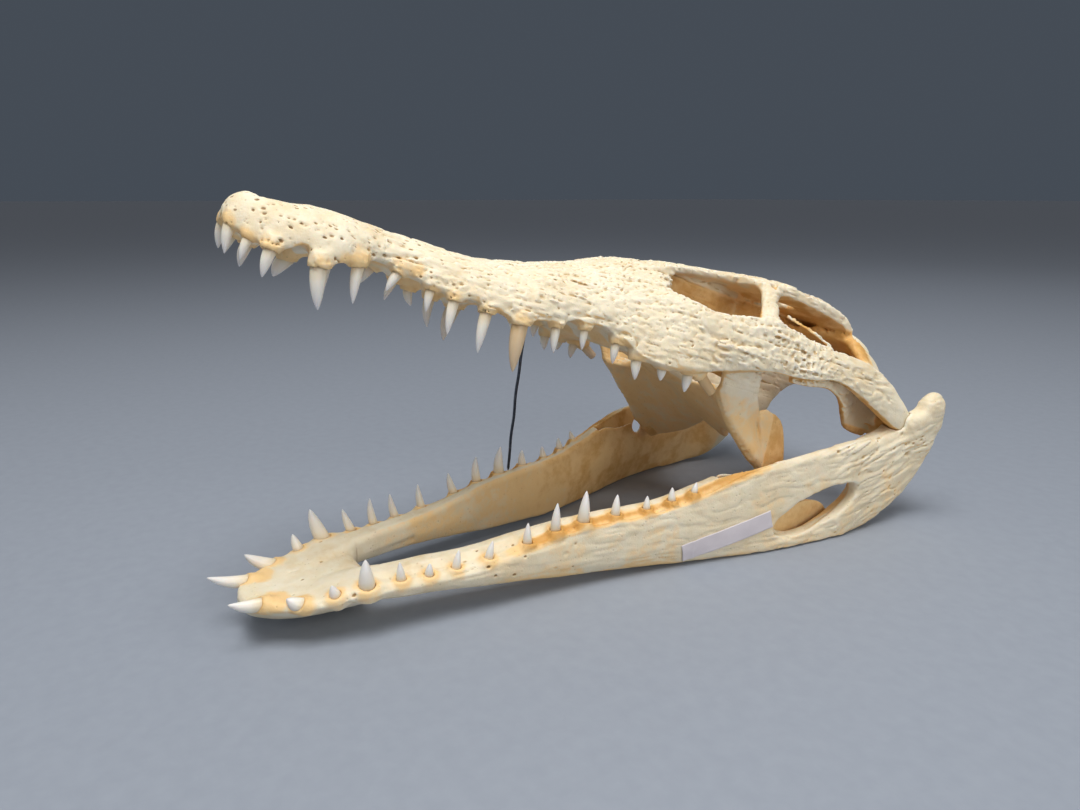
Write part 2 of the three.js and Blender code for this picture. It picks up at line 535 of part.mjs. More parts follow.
tilted.add(asMesh('premaxillae', keep(cranium, [[premaxillaryWaist, FRONT]]), BONE));
tilted.add(asMesh('maxillae', keep(cranium, [[premaxillaryWaist, BACK], [orbitFront, FRONT]]), BONE));
tilted.add(asMesh('braincase', keep(behindPalate, [roofEdge(1), roofEdge(-1)]), BONE));
tilted.add(asMesh('cheek_left', keep(behindPalate, [cheekEdge(1)]), BONE));
tilted.add(asMesh('cheek_right', keep(behindPalate, [cheekEdge(-1)]), BONE));
tilted.add(asMesh('pterygoid_left', keep(palateBones, [[vec(0, 0, 0), LEFT]]), BONE));
tilted.add(asMesh('pterygoid_right', keep(palateBones, [[vec(0, 0, 0), RIGHT]]), BONE));

const standing = new THREE.Group();
standing.add(tilted);
standing.add(asMesh('mandible_left', keep(jaw, [[vec(0, 0, 0), LEFT]]), BONE));
standing.add(asMesh('mandible_right', keep(jaw, [[vec(0, 0, 0), RIGHT]]), BONE));
standing.add(asMesh('prop_wire', propWire(), STEEL));
standing.add(asMesh('label', label(), PAPER));

const box = new THREE.Box3().setFromObject(standing);
standing.position.y = -(box.min.y + box.max.y) / 2;
const skull = new THREE.Group();
skull.add(standing);

export default skull;
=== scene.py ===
"""A young crocodile's skull as a museum keeps it: cleaned bone, mouth held open by a wire, a paper label on the jaw."""

import math

import bpy
import numpy as np
from mathutils import Matrix, Vector


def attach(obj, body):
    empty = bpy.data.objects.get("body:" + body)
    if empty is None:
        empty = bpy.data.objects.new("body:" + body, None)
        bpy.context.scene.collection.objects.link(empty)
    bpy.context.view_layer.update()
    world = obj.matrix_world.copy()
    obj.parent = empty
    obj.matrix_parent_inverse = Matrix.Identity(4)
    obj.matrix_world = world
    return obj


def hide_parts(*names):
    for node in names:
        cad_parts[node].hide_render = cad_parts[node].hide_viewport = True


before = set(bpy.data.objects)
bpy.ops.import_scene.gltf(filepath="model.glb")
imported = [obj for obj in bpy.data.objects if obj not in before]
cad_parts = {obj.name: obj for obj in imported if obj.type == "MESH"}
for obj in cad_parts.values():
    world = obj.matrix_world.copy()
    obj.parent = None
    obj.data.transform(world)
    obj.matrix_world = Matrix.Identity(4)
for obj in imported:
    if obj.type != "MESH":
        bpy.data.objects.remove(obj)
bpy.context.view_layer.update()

scene = bpy.context.scene
SIDES = ((1, "left"), (-1, "right"))


def linked(name, data):
    """A new object with this data, linked to the scene."""
    thing = bpy.data.objects.new(name, data)
    scene.collection.objects.link(thing)
    return thing


# ---------------------------------------------------------------- camera, light and floor
# A camera a little above the tooth rows, ahead of the skull and on its left.
# Soft light comes from a large panel overhead, with weaker panels on the left and behind, over a plain pale floor.
CAMERA_PLACE = Vector((0.2889, -0.21498, 0.1643))
CAMERA_YAW, CAMERA_PITCH = math.radians(32.86), math.radians(14.91)
CAMERA_LENS = 26.17

camera = linked("camera", bpy.data.cameras.new("camera"))
camera.data.lens = CAMERA_LENS
camera.data.sensor_width = 36
camera.data.clip_start = 0.01
camera.data.clip_end = 60
gaze = Vector((-math.cos(CAMERA_YAW) * math.cos(CAMERA_PITCH), math.sin(CAMERA_YAW) * math.cos(CAMERA_PITCH),
               -math.sin(CAMERA_PITCH)))
rightward = gaze.cross(Vector((0, 0, 1))).normalized()
upward = rightward.cross(gaze)
camera.matrix_world = Matrix((
    (rightward.x, upward.x, -gaze.x, CAMERA_PLACE.x),
    (rightward.y, upward.y, -gaze.y, CAMERA_PLACE.y),
    (rightward.z, upward.z, -gaze.z, CAMERA_PLACE.z),
    (0, 0, 0, 1)))
scene.camera = camera


def light_panel(name, place, target, size, power, colour):
    """A square area light at a place, turned to face its target."""
    light = bpy.data.lights.new(name, "AREA")
    light.shape = "SQUARE"
    light.size = size
    light.energy = power
    light.color = colour
    lamp = linked(name, light)
    aim = (Vector(target) - Vector(place)).to_track_quat("-Z", "Y")
    lamp.matrix_world = Matrix.Translation(place) @ aim.to_matrix().to_4x4()


light_panel("overhead_light", (0.25, -0.25, 1.3), (0, 0, 0.05), 0.8, 17, (1.0, 0.98, 0.94))
light_panel("left_light", (1.5, 0.1, 0.68), (0, 0, 0.08), 0.9, 7.5, (1.0, 0.98, 0.95))
light_panel("rear_light", (-0.5, 1.2, 1.0), (0, 0, 0.08), 0.8, 0.8, (0.98, 0.99, 1.0))


def maker_of(tree):
    """A function add(kind, settings, input=value or socket ...) that returns the new node of this tree."""
    def add(kind, settings=None, **inputs):
        node = tree.nodes.new(kind)
        for key, value in (settings or {}).items():
            setattr(node, key, value)
        for key, value in inputs.items():
            socket = node.inputs[int(key[1:])] if key[0] == "_" else node.inputs[key.replace("_", " ")]
            if isinstance(value, bpy.types.NodeSocket):
                tree.links.new(value, socket)
            else:
                socket.default_value = value
        return node
    return add


world = bpy.data.worlds.new("studio_air")
world.use_nodes = True
world.node_tree.nodes["Background"].inputs["Color"].default_value = (0.21, 0.216, 0.226, 1)
world.node_tree.nodes["Background"].inputs["Strength"].default_value = 0.8
backdrop = maker_of(world.node_tree)
seen = backdrop("ShaderNodeLightPath").outputs["Is Camera Ray"]
dark_air = backdrop("ShaderNodeBackground", Color=(0.060, 0.073, 0.092, 1), Strength=1.0).outputs["Background"]
air = world.node_tree.nodes["Background"].outputs["Background"]
mixed_air = backdrop("ShaderNodeMixShader", _0=seen, _1=air, _2=dark_air).outputs["Shader"]
world.node_tree.links.new(mixed_air, world.node_tree.nodes["World Output"].inputs["Surface"])
scene.world = world
scene.view_settings.view_transform = "Standard"


def nodes_of(name):
    """A new material, a function that adds a node to it and links or sets its named inputs, and the place on the
    piece in its own metres."""
    material = bpy.data.materials.new(name)
    material.use_nodes = True
    material.node_tree.nodes.clear()
    add = maker_of(material.node_tree)
    return material, add, add("ShaderNodeTexCoord").outputs["Object"]


def noise(add, place, scale, detail, roughness=0.5):
    """A noise texture's value, 0 to 1."""
    return add("ShaderNodeTexNoise", Vector=place, Scale=scale, Detail=detail, Roughness=roughness).outputs["Fac"]


def coat(add, **inputs):
    """The Principled shader with these inputs, as the material's surface."""
    shader = add("ShaderNodeBsdfPrincipled", **inputs)
    add("ShaderNodeOutputMaterial", Surface=shader.outputs["BSDF"])


def ramp(add, factor, stops):
    """A colour ramp through (position, colour) stops."""
    node = add("ShaderNodeValToRGB", Fac=factor)
    elements = node.color_ramp.elements
    while len(elements) < len(stops):
        elements.new(0.5)
    for element, (position, colour) in zip(elements, stops):
        element.position = position
        element.color = (*colour, 1)
    return node.outputs["Color"]


FLOOR_REACH = 30.0
floor_mesh = bpy.data.meshes.new("floor")
floor_mesh.from_pydata([(x * FLOOR_REACH, y * FLOOR_REACH, 0) for x, y in ((-1, -1), (1, -1), (1, 1), (-1, 1))], [],
                       [(0, 1, 2, 3)])
floor = linked("floor", floor_mesh)
floor_paint, add, place = nodes_of("floor_paint")
floor_colour = ramp(add, noise(add, place, 160.0, 3.0), [(0.3, (0.278, 0.312, 0.376)), (0.7, (0.296, 0.331, 0.396))])
coat(add, Base_Color=floor_colour, Roughness=0.6)
floor_mesh.materials.append(floor_paint)

# ---------------------------------------------------------------- how the bones are shaped
# Every bone here grows into the next, and one surface of two parameters can't hold their windows and struts.
# So each is a profile carried along a path, and the profiles are fused on a grid of points in millimetres.
# The grid holds how far each point lies outside the bone; the bone's skin is laid where that is zero.


def through(at, table, wanted):
    """Rows of a table at the wanted places, by a cubic between neighbours whose slope at a row is the harmonic mean
    of the slopes on its two sides, so that no hump appears between two rows."""
    at, table, wanted = np.asarray(at, float), np.asarray(table, float), np.asarray(wanted, float)
    if at[0] > at[-1]:
        at, table = at[::-1], table[::-1]
    gap = np.diff(at)[:, None]
    slope = np.diff(table, axis=0) / gap
    product = slope[:-1] * slope[1:]
    sum_ = slope[:-1] + slope[1:]
    tangent = np.concatenate([
        slope[:1], np.where(product > 0, 2 * product / np.where(sum_ == 0, 1, sum_), 0), slope[-1:]])
    i = np.clip(np.searchsorted(at, wanted) - 1, 0, len(at) - 2)
    h = gap[i]
    t = np.clip((wanted - at[i])[:, None] / h, 0, 1)
    return ((1 + 2 * t) * (1 - t) ** 2 * table[i] + t * (1 - t) ** 2 * h * tangent[i]
            + t * t * (3 - 2 * t) * table[i + 1] + t * t * (t - 1) * h * tangent[i + 1])


def fused(a, b, soft):
    """The smaller of two depths, rounded over a width where they meet, as a fillet."""
    if soft <= 0:
        return np.minimum(a, b)
    near = np.maximum(soft - np.abs(a - b), 0) / soft
    return np.minimum(a, b) - near * near * soft * 0.25


def without(a, b, soft):
    """The depth of one body with another taken out of it, and a fillet along the edge."""
    return -fused(-a, b, soft)


def superellipse(a, b, wide_a, wide_b, power, least=1e-4):
    """The depth of a section |a|^power + |b|^power = 1 whose half widths are wide_a and wide_b: how far the sum's root
    is from 1, over the slope of that root."""
    grow_a, grow_b = a ** (power - 1), b ** (power - 1)
    total = np.maximum(grow_a * a + grow_b * b, 1e-6)
    steep = np.hypot(grow_a / wide_a, grow_b / wide_b)
    return (total ** (1 / power) - 1) * total ** (1 - 1 / power) / np.maximum(steep, least)


def smooth(value, low, high):
    """0 below low, 1 above high, and an even S between them."""
    t = np.clip((value - low) / (high - low), 0, 1)
    return t * t * (3 - 2 * t)


def below(value, low, high):
    """1 below low and 0 above high."""
    return 1 - smooth(value, low, high)


def between(value, low, full, last, high):
    """1 from full to last, and 0 below low and above high."""
    return smooth(value, low, full) * below(value, last, high)


def bars(plane, rows):
    """Stations of a limb from rows (x, y, z, half width along the plane's first axis, half width along its second)."""
    first, second = (np.eye(3)["xyz".index(letter)] for letter in plane)
    return [(row[:3], first * row[3], second * row[4]) for row in rows]


class Grid:
    """Points in a box, a step apart, each with its depth: millimetres outside the bone, negative inside."""

    def __init__(self, low, high, step):
        counts = np.ceil((np.array(high) - np.array(low)) / step).astype(int) + 1
        self.step = step
        self.axes = [(low[k] + step * np.arange(counts[k])).astype(np.float32) for k in range(3)]
        self.depth = np.full(counts, 9, np.float32)

    def window(self, low, high):
        """The part of the grid in a smaller box, and the three coordinates there as open grids."""
        part = tuple(slice(*np.searchsorted(axis, (low[k], high[k]))) for k, axis in enumerate(self.axes))
        x, y, z = (axis[s] for axis, s in zip(self.axes, part))
        return part, x[:, None, None], y[None, :, None], z[None, None, :]

    def put(self, part, depth, soft, cut=False):
        """Adds a depth to the bone with a fillet, or takes its body out of it."""
        if cut:
            self.depth[part] = without(self.depth[part], depth, soft)
        else:
            self.depth[part] = fused(self.depth[part], depth, soft)

    def limb(self, stations, power=2.4, soft=3.0, cut=False, spacing=3.0, reach=7.0):
        """A bar through stations (centre, half width across, half width along). Between two stations the section is a
        superellipse |a|^power + |b|^power = 1 in the plane turned evenly from one to the next; the depth is the
        distance that its first derivative gives."""
        rows = np.array([np.concatenate(row) for row in stations], float)
        run = np.concatenate([[0], np.cumsum(np.linalg.norm(np.diff(rows[:, :3], axis=0), axis=1))])
        pieces = max(2, int(run[-1] / spacing) + 1)
        rows = through(run, rows, np.linspace(0, run[-1], pieces + 1))
        centre, across, along = rows[:, :3], rows[:, 3:6], rows[:, 6:]
        flat = np.cross(across, along)
        flat /= np.linalg.norm(flat, axis=1)[:, None]
        flat *= np.sign((flat * np.gradient(centre, axis=0)).sum(1))[:, None]
        size_a, size_b = np.linalg.norm(across, axis=1), np.linalg.norm(along, axis=1)
        dual_a, dual_b = np.cross(along, flat), np.cross(flat, across)
        dual_a /= (dual_a * across).sum(1)[:, None]
        dual_b /= (dual_b * along).sum(1)[:, None]
        half = np.abs(across) + np.abs(along)
        low, high = (centre - half).min(0) - reach, (centre + half).max(0) + reach
        whole, *_ = self.window(low, high)
        own = np.full([s.stop - s.start for s in whole], 9, np.float32)
        for i in range(pieces):
            part, x, y, z = self.window(np.minimum(*(centre - half)[i:i + 2]) - reach,
                                        np.maximum(*(centre + half)[i:i + 2]) + reach)
            local = tuple(slice(s.start - w.start, s.stop - w.start) for s, w in zip(part, whole))

            def along_plane(direction, point):
                return ((x - point[0]) * direction[0] + (y - point[1]) * direction[1]
                        + (z - point[2]) * direction[2]).astype(np.float32)

            past = along_plane(flat[i], centre[i])
            short = along_plane(flat[i + 1], centre[i + 1])
            t = np.clip(past / np.maximum(past - short, 1e-3), 0, 1)
            off_end = np.maximum(np.maximum(-past, short), 0)
            move = centre[i + 1] - centre[i]
            a, b = (np.abs(
                (1 - t) * (along_plane(dual[i], centre[i]) - t * np.float32(move @ dual[i]))
                + t * (along_plane(dual[i + 1], centre[i]) - t * np.float32(move @ dual[i + 1])))
                for dual in (dual_a, dual_b))
            wide_a = size_a[i] + t * np.float32(size_a[i + 1] - size_a[i])
            wide_b = size_b[i] + t * np.float32(size_b[i + 1] - size_b[i])
            depth = np.maximum(superellipse(a, b, wide_a, wide_b, power), -np.minimum(wide_a, wide_b))
            depth = np.where(off_end > 0, np.hypot(np.maximum(depth, 0), off_end), depth)
            own[local] = np.minimum(own[local], depth)
        self.put(whole, own, soft, cut)

    def egg(self, centre, half, soft=2.0, cut=False, reach=7.0):
        """An ellipsoid about a centre with three half widths: the depth is size (size - 1) over the slope of size^2,
        where size is 1 on the ellipsoid."""
        centre, half = np.array(centre, float), np.array(half, float)
        part, *axes = self.window(centre - half - reach, centre + half + reach)
        own = [axis - middle for axis, middle in zip(axes, centre)]
        size = np.sqrt(sum((o / h) ** 2 for o, h in zip(own, half)))
        slope = np.sqrt(sum((o / h ** 2) ** 2 for o, h in zip(own, half)))
        depth = size * (size - 1) / np.maximum(slope, 1e-4)
        self.put(part, np.maximum(depth, -half.min()).astype(np.float32), soft, cut)

    def mirrored(self):
        """The grid with its other half: the first axis starts at 0 and is reflected there."""
        self.axes[0] = np.concatenate([-self.axes[0][:0:-1], self.axes[0]])
        self.depth = np.concatenate([self.depth[:0:-1], self.depth])

    def points(self, flat_index):
        """The coordinates of grid points given by their running number."""
        i = np.unravel_index(flat_index, self.depth.shape)
        return [axis[k] for axis, k in zip(self.axes, i)]

    def facing(self, flat_index):
        """The outward direction at grid points, from the depths of their neighbours on the three axes."""
        strides = [self.depth.shape[1] * self.depth.shape[2], self.depth.shape[2], 1]
        flat = self.depth.reshape(-1)
        size = flat.size - 1
        slope = [flat[np.minimum(flat_index + s, size)] - flat[np.maximum(flat_index - s, 0)] for s in strides]
        length = np.maximum(np.sqrt(sum(s * s for s in slope)), 1e-6)
        return [s / length for s in slope]


def skin(depth, axes, step):
    """Vertices and faces where the depth is zero: one vertex in each cell that the surface crosses, at the mean of
    the crossings on the cell's edges, and one face round each edge that it crosses. Each vertex then takes two steps
    down the slope of the depth, blended between the cell's corners, so that it lies on the surface."""
    nx, ny, nz = depth.shape
    strides = (ny * nz, nz, 1)
    inside = depth < 0
    flat = depth.reshape(-1)
    starts, ends, spots, flips = [], [], [], []
    for axis in range(3):
        first = [slice(None)] * 3
        second = [slice(None)] * 3
        first[axis], second[axis] = slice(0, -1), slice(1, None)
        crossed = np.zeros(depth.shape, bool)
        crossed[tuple(first)] = inside[tuple(first)] != inside[tuple(second)]
        edge = np.flatnonzero(crossed)
        place = np.array(np.unravel_index(edge, depth.shape), np.float32)
        a, b = flat[edge], flat[edge + strides[axis]]
        place[axis] += a / (a - b)
        starts.append(edge)
        spots.append(place)
        flips.append(a < 0)
    cells, weights, quads = [], [], []
    for axis in range(3):
        u, v = [s for k, s in enumerate(strides) if k != axis]
        if axis == 1:
            u, v = v, u
        around = np.stack([starts[axis] - u - v, starts[axis] - v, starts[axis], starts[axis] - u])
        cells.append(around.reshape(-1))
        weights.append(np.tile(spots[axis], (1, 4)))
        quads.append(np.where(flips[axis], around, around[::-1]).T)
    cells = np.concatenate(cells)
    weights = np.concatenate(weights, axis=1)
    used = np.zeros(flat.size, bool)
    used[cells] = True
    number = (np.cumsum(used) - 1).astype(np.int32)
    count = int(number[-1]) + 1
    owner = number[cells]
    total = np.bincount(owner, minlength=count)
    vertices = np.stack([np.bincount(owner, w, count) / total for w in weights], 1)
    for _ in range(2):
        whole = np.clip(np.floor(vertices).astype(np.int64), 0, np.array(depth.shape) - 2)
        part = (vertices - whole).astype(np.float32)
        base = whole @ np.array(strides)
        corner = {(i, j, k): flat[base + i * strides[0] + j * strides[1] + k]
                  for i in (0, 1) for j in (0, 1) for k in (0, 1)}
        low_high = [(1 - part[:, n], part[:, n]) for n in range(3)]
        value = sum(c * low_high[0][i] * low_high[1][j] * low_high[2][k] for (i, j, k), c in corner.items())
        slope = np.stack([
            sum((2 * i - 1) * c * low_high[1][j] * low_high[2][k] for (i, j, k), c in corner.items()),
            sum((2 * j - 1) * c * low_high[0][i] * low_high[2][k] for (i, j, k), c in corner.items()),
            sum((2 * k - 1) * c * low_high[0][i] * low_high[1][j] for (i, j, k), c in corner.items())], 1)
        move = slope * (value / np.maximum((slope ** 2).sum(1), 0.02))[:, None]
        vertices -= np.clip(move, -0.35, 0.35)
    vertices = vertices * step + np.array([axis[0] for axis in axes])
    return vertices, number[np.concatenate(quads)]


rng = np.random.default_rng(7)
CLOUD = rng.random((32, 32, 32)).astype(np.float32)
SCATTER = rng.random((16, 16, 16, 3)).astype(np.float32)
LATTICE_START = 40  # in cells, so that no lattice number is negative


def cloud(x, y, z, wave, shift=0):
    """Smooth random hills from 0 to 1, with a wavelength (or three) in millimetres: random numbers at the corners of
    a lattice, blended between them by an S in each direction."""
    wave = np.broadcast_to(np.asarray(wave, np.float32), 3)
    place = [np.asarray(c, np.float32) / w + shift * 5.3 + LATTICE_START for c, w in zip((x, y, z), wave)]
    whole = [np.floor(p).astype(np.int32) for p in place]
    part = [p - w for p, w in zip(place, whole)]
    part = [t * t * (3 - 2 * t) for t in part]
    corner = [[(w + k) & 31 for k in (0, 1)] for w in whole]

    def pick(i, j, k):
        return CLOUD[corner[0][i], corner[1][j], corner[2][k]]

    rows = [[pick(0, j, k) * (1 - part[0]) + pick(1, j, k) * part[0] for j in (0, 1)] for k in (0, 1)]
    lines = [row[0] * (1 - part[1]) + row[1] * part[1] for row in rows]
    return lines[0] * (1 - part[2]) + lines[1] * part[2]


def cells(x, y, z, wave):
    """Distances to the nearest and the second nearest of random seeds, one to each cube of a lattice; the walls
    between two seeds, where both distances are alike, make a honeycomb. Also a random number of the nearest seed."""
    wave = np.broadcast_to(np.asarray(wave, np.float32), 3)
    place = [np.asarray(c, np.float32) / w + LATTICE_START for c, w in zip((x, y, z), wave)]
    whole = [np.floor(p).astype(np.int32) for p in place]
    near = np.full(place[0].shape, 9, np.float32)
    next_ = near.copy()
    luck = np.zeros_like(near)
    for i in (-1, 0, 1):
        for j in (-1, 0, 1):
            for k in (-1, 0, 1):
                cube = [w + d for w, d in zip(whole, (i, j, k))]
                seed = SCATTER[cube[0] & 15, cube[1] & 15, cube[2] & 15]
                gap = np.sqrt(sum((c + seed[:, n] - p) ** 2 for n, (c, p) in enumerate(zip(cube, place))))
                closer = gap < near
                next_ = np.where(closer, near, np.minimum(next_, gap))
                luck = np.where(closer, seed[:, 0] * 7.31 % 1, luck)
                near = np.where(closer, gap, near)
    return near, next_, luck


def crowding(depth, radius):
    """The share of bone in a box about each grid point, two means in a row so that the box is soft. A flat face has
    one half; a hollow has more and a ridge less."""
    share = np.clip(0.5 - depth / 1.3, 0, 1)
    for axis in range(3):
        for _ in range(2):
            padded = np.concatenate([np.repeat(share.take([0], axis), radius + 1, axis), share,
                                     np.repeat(share.take([-1], axis), radius, axis)], axis)
            total = np.cumsum(padded, axis, dtype=np.float32)
            length = share.shape[axis]
            ends = [slice(None)] * 3
            begins = [slice(None)] * 3
            ends[axis] = slice(2 * radius + 1, 2 * radius + 1 + length)
            begins[axis] = slice(0, length)
            share = (total[tuple(ends)] - total[tuple(begins)]) / (2 * radius + 1)
    return share


# ---------------------------------------------------------------- the cranium's bone
# Snout, roof, cheeks, palate and braincase of dry cleaned bone, all grown together and parted only at sutures.
# Drawn level along its tooth row: x to the animal's left, then forwards from the jaw joint, then up.
STEP = 0.62
SNOUT = np.array([  # forwards, half width, lower margin, top
    [325.4, 2, 3.4, 8], [324.2, 5.2, 2.2, 11], [321.6, 9.4, 0.8, 13.6], [317.6, 13.4, -0.6, 15.6],
    [312, 16.8, -2, 16.8],
    [306, 19, -1.2, 17], [301, 20.2, 1.4, 17.2], [295, 22.2, -3.2, 17.4], [288, 21.2, -0.8, 17.6],
    [280, 18.3, 1.2, 17.3], [272, 15.2, 4.2, 17.2], [264, 15.4, 3.2, 16.9], [254, 19.5, 0.6, 17.1],
    [244, 23.5, -1, 17.1], [232, 27.8, -0.6, 17.4], [220, 31.2, -3.3, 19.3], [209, 32, -1.2, 21.8],
    [198, 31.2, 0.6, 24.5], [190, 30.8, 3.4, 26.9], [179, 32.4, 3.6, 30.4], [168, 36, 0.2, 34.6],
    [156, 41.2, -3.8, 38.2], [146, 46, -4.2, 40], [138, 49.5, -4, 41.4]])
UPPER_TEETH = np.array([  # forwards, x, up, crown length, root radius, backward lean
    [323, 5, 2.6, 10.4, 1.9, 0.04], [317.6, 11.4, -0.4, 8, 1.6, -0.16], [311, 16.6, -2, 10, 2.2, -0.1],
    [295, 20, -3.2, 14.8, 3, 0.16], [280.4, 16.6, 0.8, 13.4, 2.2, 0.12], [263.8, 13.4, 2.6, 8.6, 1.9, -0.4],
    [251.4, 17.6, 0, 8.6, 1.8, 0.04], [242.7, 21.6, -1.4, 13.2, 2.2, 0.02], [230, 25.4, -2.6, 16, 2.5, 0.04],
    [215.8, 28.4, -3.2, 19.6, 3.5, 0.1], [198.8, 28.2, -0.6, 10.4, 2.1, 0.14], [184.6, 28.2, 1.8, 8.6, 1.9, 0.16],
    [169, 31.4, 0, 8.8, 2.1, 0.16], [159, 35.4, -4, 9, 2.5, 0.2], [147, 39.4, -4.6, 6, 2.3, 0.1],
    [134.6, 43, -4.4, 8.4, 2.5, 0.02], [128, 43.6, -3.4, 12, 2.6, 1.7]])

skull = Grid((0, -9, -48), (70, 329, 55), STEP)


def level(rows):
    """Stations of a level bar on the midline from rows (forwards, half width, bottom, top)."""
    return [((0, f, (low + top) / 2), (half, 0, 0), (0, 0, (top - low) / 2)) for f, half, low, top in rows]


def carve_snout():
    """The snout: at each place forwards a dome over a flat palate. Above the margin the section is a superellipse of
    power 2.15; below it the same sides close within two millimetres, and a shallow vault is taken out between the
    tooth rows. The last stations run under the orbits, whose hollow is taken out later."""
    part, x, y, z = skull.window((0, 133, -14), (62, 329, 52))
    half, low, top = through(SNOUT[:, 0], SNOUT[:, 1:], y.ravel()).T[:, None, :, None]
    base = low + 1.6
    a = np.abs(x) / half
    b = np.where(z > base, (z - base) / (top - base), (base - z) / 2.0)
    tall = np.where(z > base, top - base, 2.0)
    depth = np.maximum(superellipse(a, b, half, tall, 2.15, 1e-3), -half * 0.9)
    depth += 2.2 * smooth(152 - y, 0, 15)
    depth = without(np.maximum(depth, y - SNOUT[0, 0]), y - 136, 7)
    inner = np.maximum(half - 6.5, half * 0.45)
    vault = 4 * (np.hypot(x / inner, (z - low + 1.2) / np.clip((top - low) / 4 + 1.2, 1, 5.2)) - 1)
    depth = without(depth, vault, 2.5)
    skull.put(part, depth.astype(np.float32), 0)


carve_snout()
CHEEK = [  # forwards, low x, low, high x, high, half thickness
    (158, 36, -2.4, 28, 20, 4), (150, 40, -3.4, 34, 26, 4.6), (143, 43, -4, 38, 27.4, 4.8),
    (134, 46.6, -2.8, 42, 25.6, 4.5),
    (122, 49.5, 0.8, 45.8, 26.4, 4), (108, 53, 4.4, 48, 29.4, 3.8), (95, 55, 6.6, 49.6, 29.6, 3.6),
    (84, 56.6, 7, 51.4, 28.4, 3.5), (72, 58.4, 8.2, 53, 26.6, 3.4), (58, 60, 11, 54.6, 25.4, 3.4),
    (44, 61.6, 9, 56.6, 25, 3.5), (30, 62.6, 4.4, 58.6, 23.6, 3.6), (17, 63.4, 0.4, 61, 18.6, 3.8),
    (6, 64.4, -3, 63.4, 12, 3.6), (-3, 64.6, -3.4, 64.6, 6, 2.6)]
skull.limb([(((lx + hx) / 2, f, (lo + hi) / 2), (w, 0, 0), ((hx - lx) / 2, 0, (hi - lo) / 2))
            for f, lx, lo, hx, hi, w in CHEEK], power=3.0, soft=5)
ROOF = [
    (160, 15, 31, 36), (144, 20, 35, 40.4), (135, 18.6, 37.6, 42.6), (125, 15.8, 40, 44.8), (113, 13.4, 42, 46.6),
    (104, 14.6, 43, 47.9), (97, 21, 43.6, 49), (91, 29, 43.6, 50.2), (82, 33.6, 43, 51.2), (70, 35, 42.4, 51.8),
    (62, 35.2, 42, 50.4), (54, 36, 41.6, 51), (44, 36.8, 40.6, 51), (35, 37.2, 39.4, 49.6), (28, 37.6, 37.6, 46.6),
    (22, 37.4, 35.6, 43.6)]
skull.limb(level(ROOF), power=4.0, soft=4)
BRAINCASE = [
    (92, 4, 36, 44), (80, 7, 26, 44), (68, 9.6, 16, 44), (56, 10.6, 4, 44), (48, 11, -8, 44), (41, 12, -13.6, 44),
    (34, 13, -9.6, 44), (30, 13.4, -4, 44), (26, 14, 0.4, 44), (18, 14, 5.6, 43), (13, 11, 9, 38)]
skull.limb(level(BRAINCASE), power=3.0, soft=5)
skull.limb(bars("xz", [(0, 20, 16, 5, 4.6), (0, 11, 15, 5.6, 5), (0, 7, 15, 5, 4.4), (0, 5, 15, 2.6, 2.2)]),
           power=2, soft=3)
skull.limb(bars("yz", [(4, 19, 33, 4, 10), (22, 14, 33, 3.8, 9), (33.4, 3, 30.4, 3.4, 6),
                       (35.2, -3.6, 27.6, 1.8, 2.6)]),
           power=2.6, soft=4)
QUADRATE = [  # x, forwards, up, half width, rise of the front edge, half thickness
    (8, 36, 29, 9, 4, 5), (26, 24, 32, 11, 4, 4.2), (38, 12, 30, 14, 4.5, 3.8), (49, 12, 20, 14, 6, 3.4),
    (58, 11, 11.4, 14, 7, 3.6), (62, 7, 4, 11, 5, 4)]
skull.limb([((x, f, u), (0, w, r), (0.6 * t, -0.27 * t, 0.71 * t)) for x, f, u, w, r, t in QUADRATE],
           power=2.8, soft=5)
skull.limb(bars("xy", [(34, 16, 26, 2.6, 9), (42, 8, 10, 2.6, 8.6), (47, 2, -3.6, 4, 6)]), power=2.6, soft=4)
CONDYLE = [(41, -1, -3.2, 2.6), (43, -1, -3.2, 4.6), (47, -2, -3, 6.2), (54, -2, -0.6, 5.4), (61, -2, 1, 5.4),
           (66.2, -2, 1.2, 4), (67.6, -2, 1.2, 2)]
skull.limb([((x, f, u), (0, r, 0), (0, 0, r)) for x, f, u, r in CONDYLE], power=2, soft=3)
PALATINES = [
    (160, 19, 0.4, 10), (138, 14, -1.6, 9), (122, 12, -5.4, 7), (110, 12, -9, 5), (95, 13, -11.6, 2),
    (80, 14, -14.6, 0),
    (62, 14, -15.4, -1.6), (46, 12, -15, -2.6), (37, 10, -13, -4)]
skull.limb(level(PALATINES), power=3.0, soft=5)
WING = [
    ((0, 85, -14), (0, -17, -9), (0, -2.4, 4)), ((18, 82, -19.6), (0, -20, -13), (0, -1.7, 2.6)),
    ((32, 84, -22), (0, -21, -17), (0.6, -1.5, 2.0)), ((40, 79, -27.5), (0, -17, -14.5), (1.7, -1, 1.3)),
    ((43.4, 70, -39), (0, -7, -5), (1.5, 0, 1))]
skull.limb(WING, power=2.6, soft=4)
STRUT = [
    (50, 111, 12, 3.2, -14), (46.6, 105, 3, 2.8, -13), (43.4, 100, -6, 2.4, -13), (41, 93, -12.6, 2.2, -13),
    (40, 87.2, -19.4, 2.2, -11.4), (40.8, 79.4, -28, 2.2, -7.6), (42, 73.8, -34, 2, -4.6),
    (43.4, 69.4, -39.4, 1.6, -2)]
skull.limb(bars("xy", STRUT), power=2.4, soft=5)
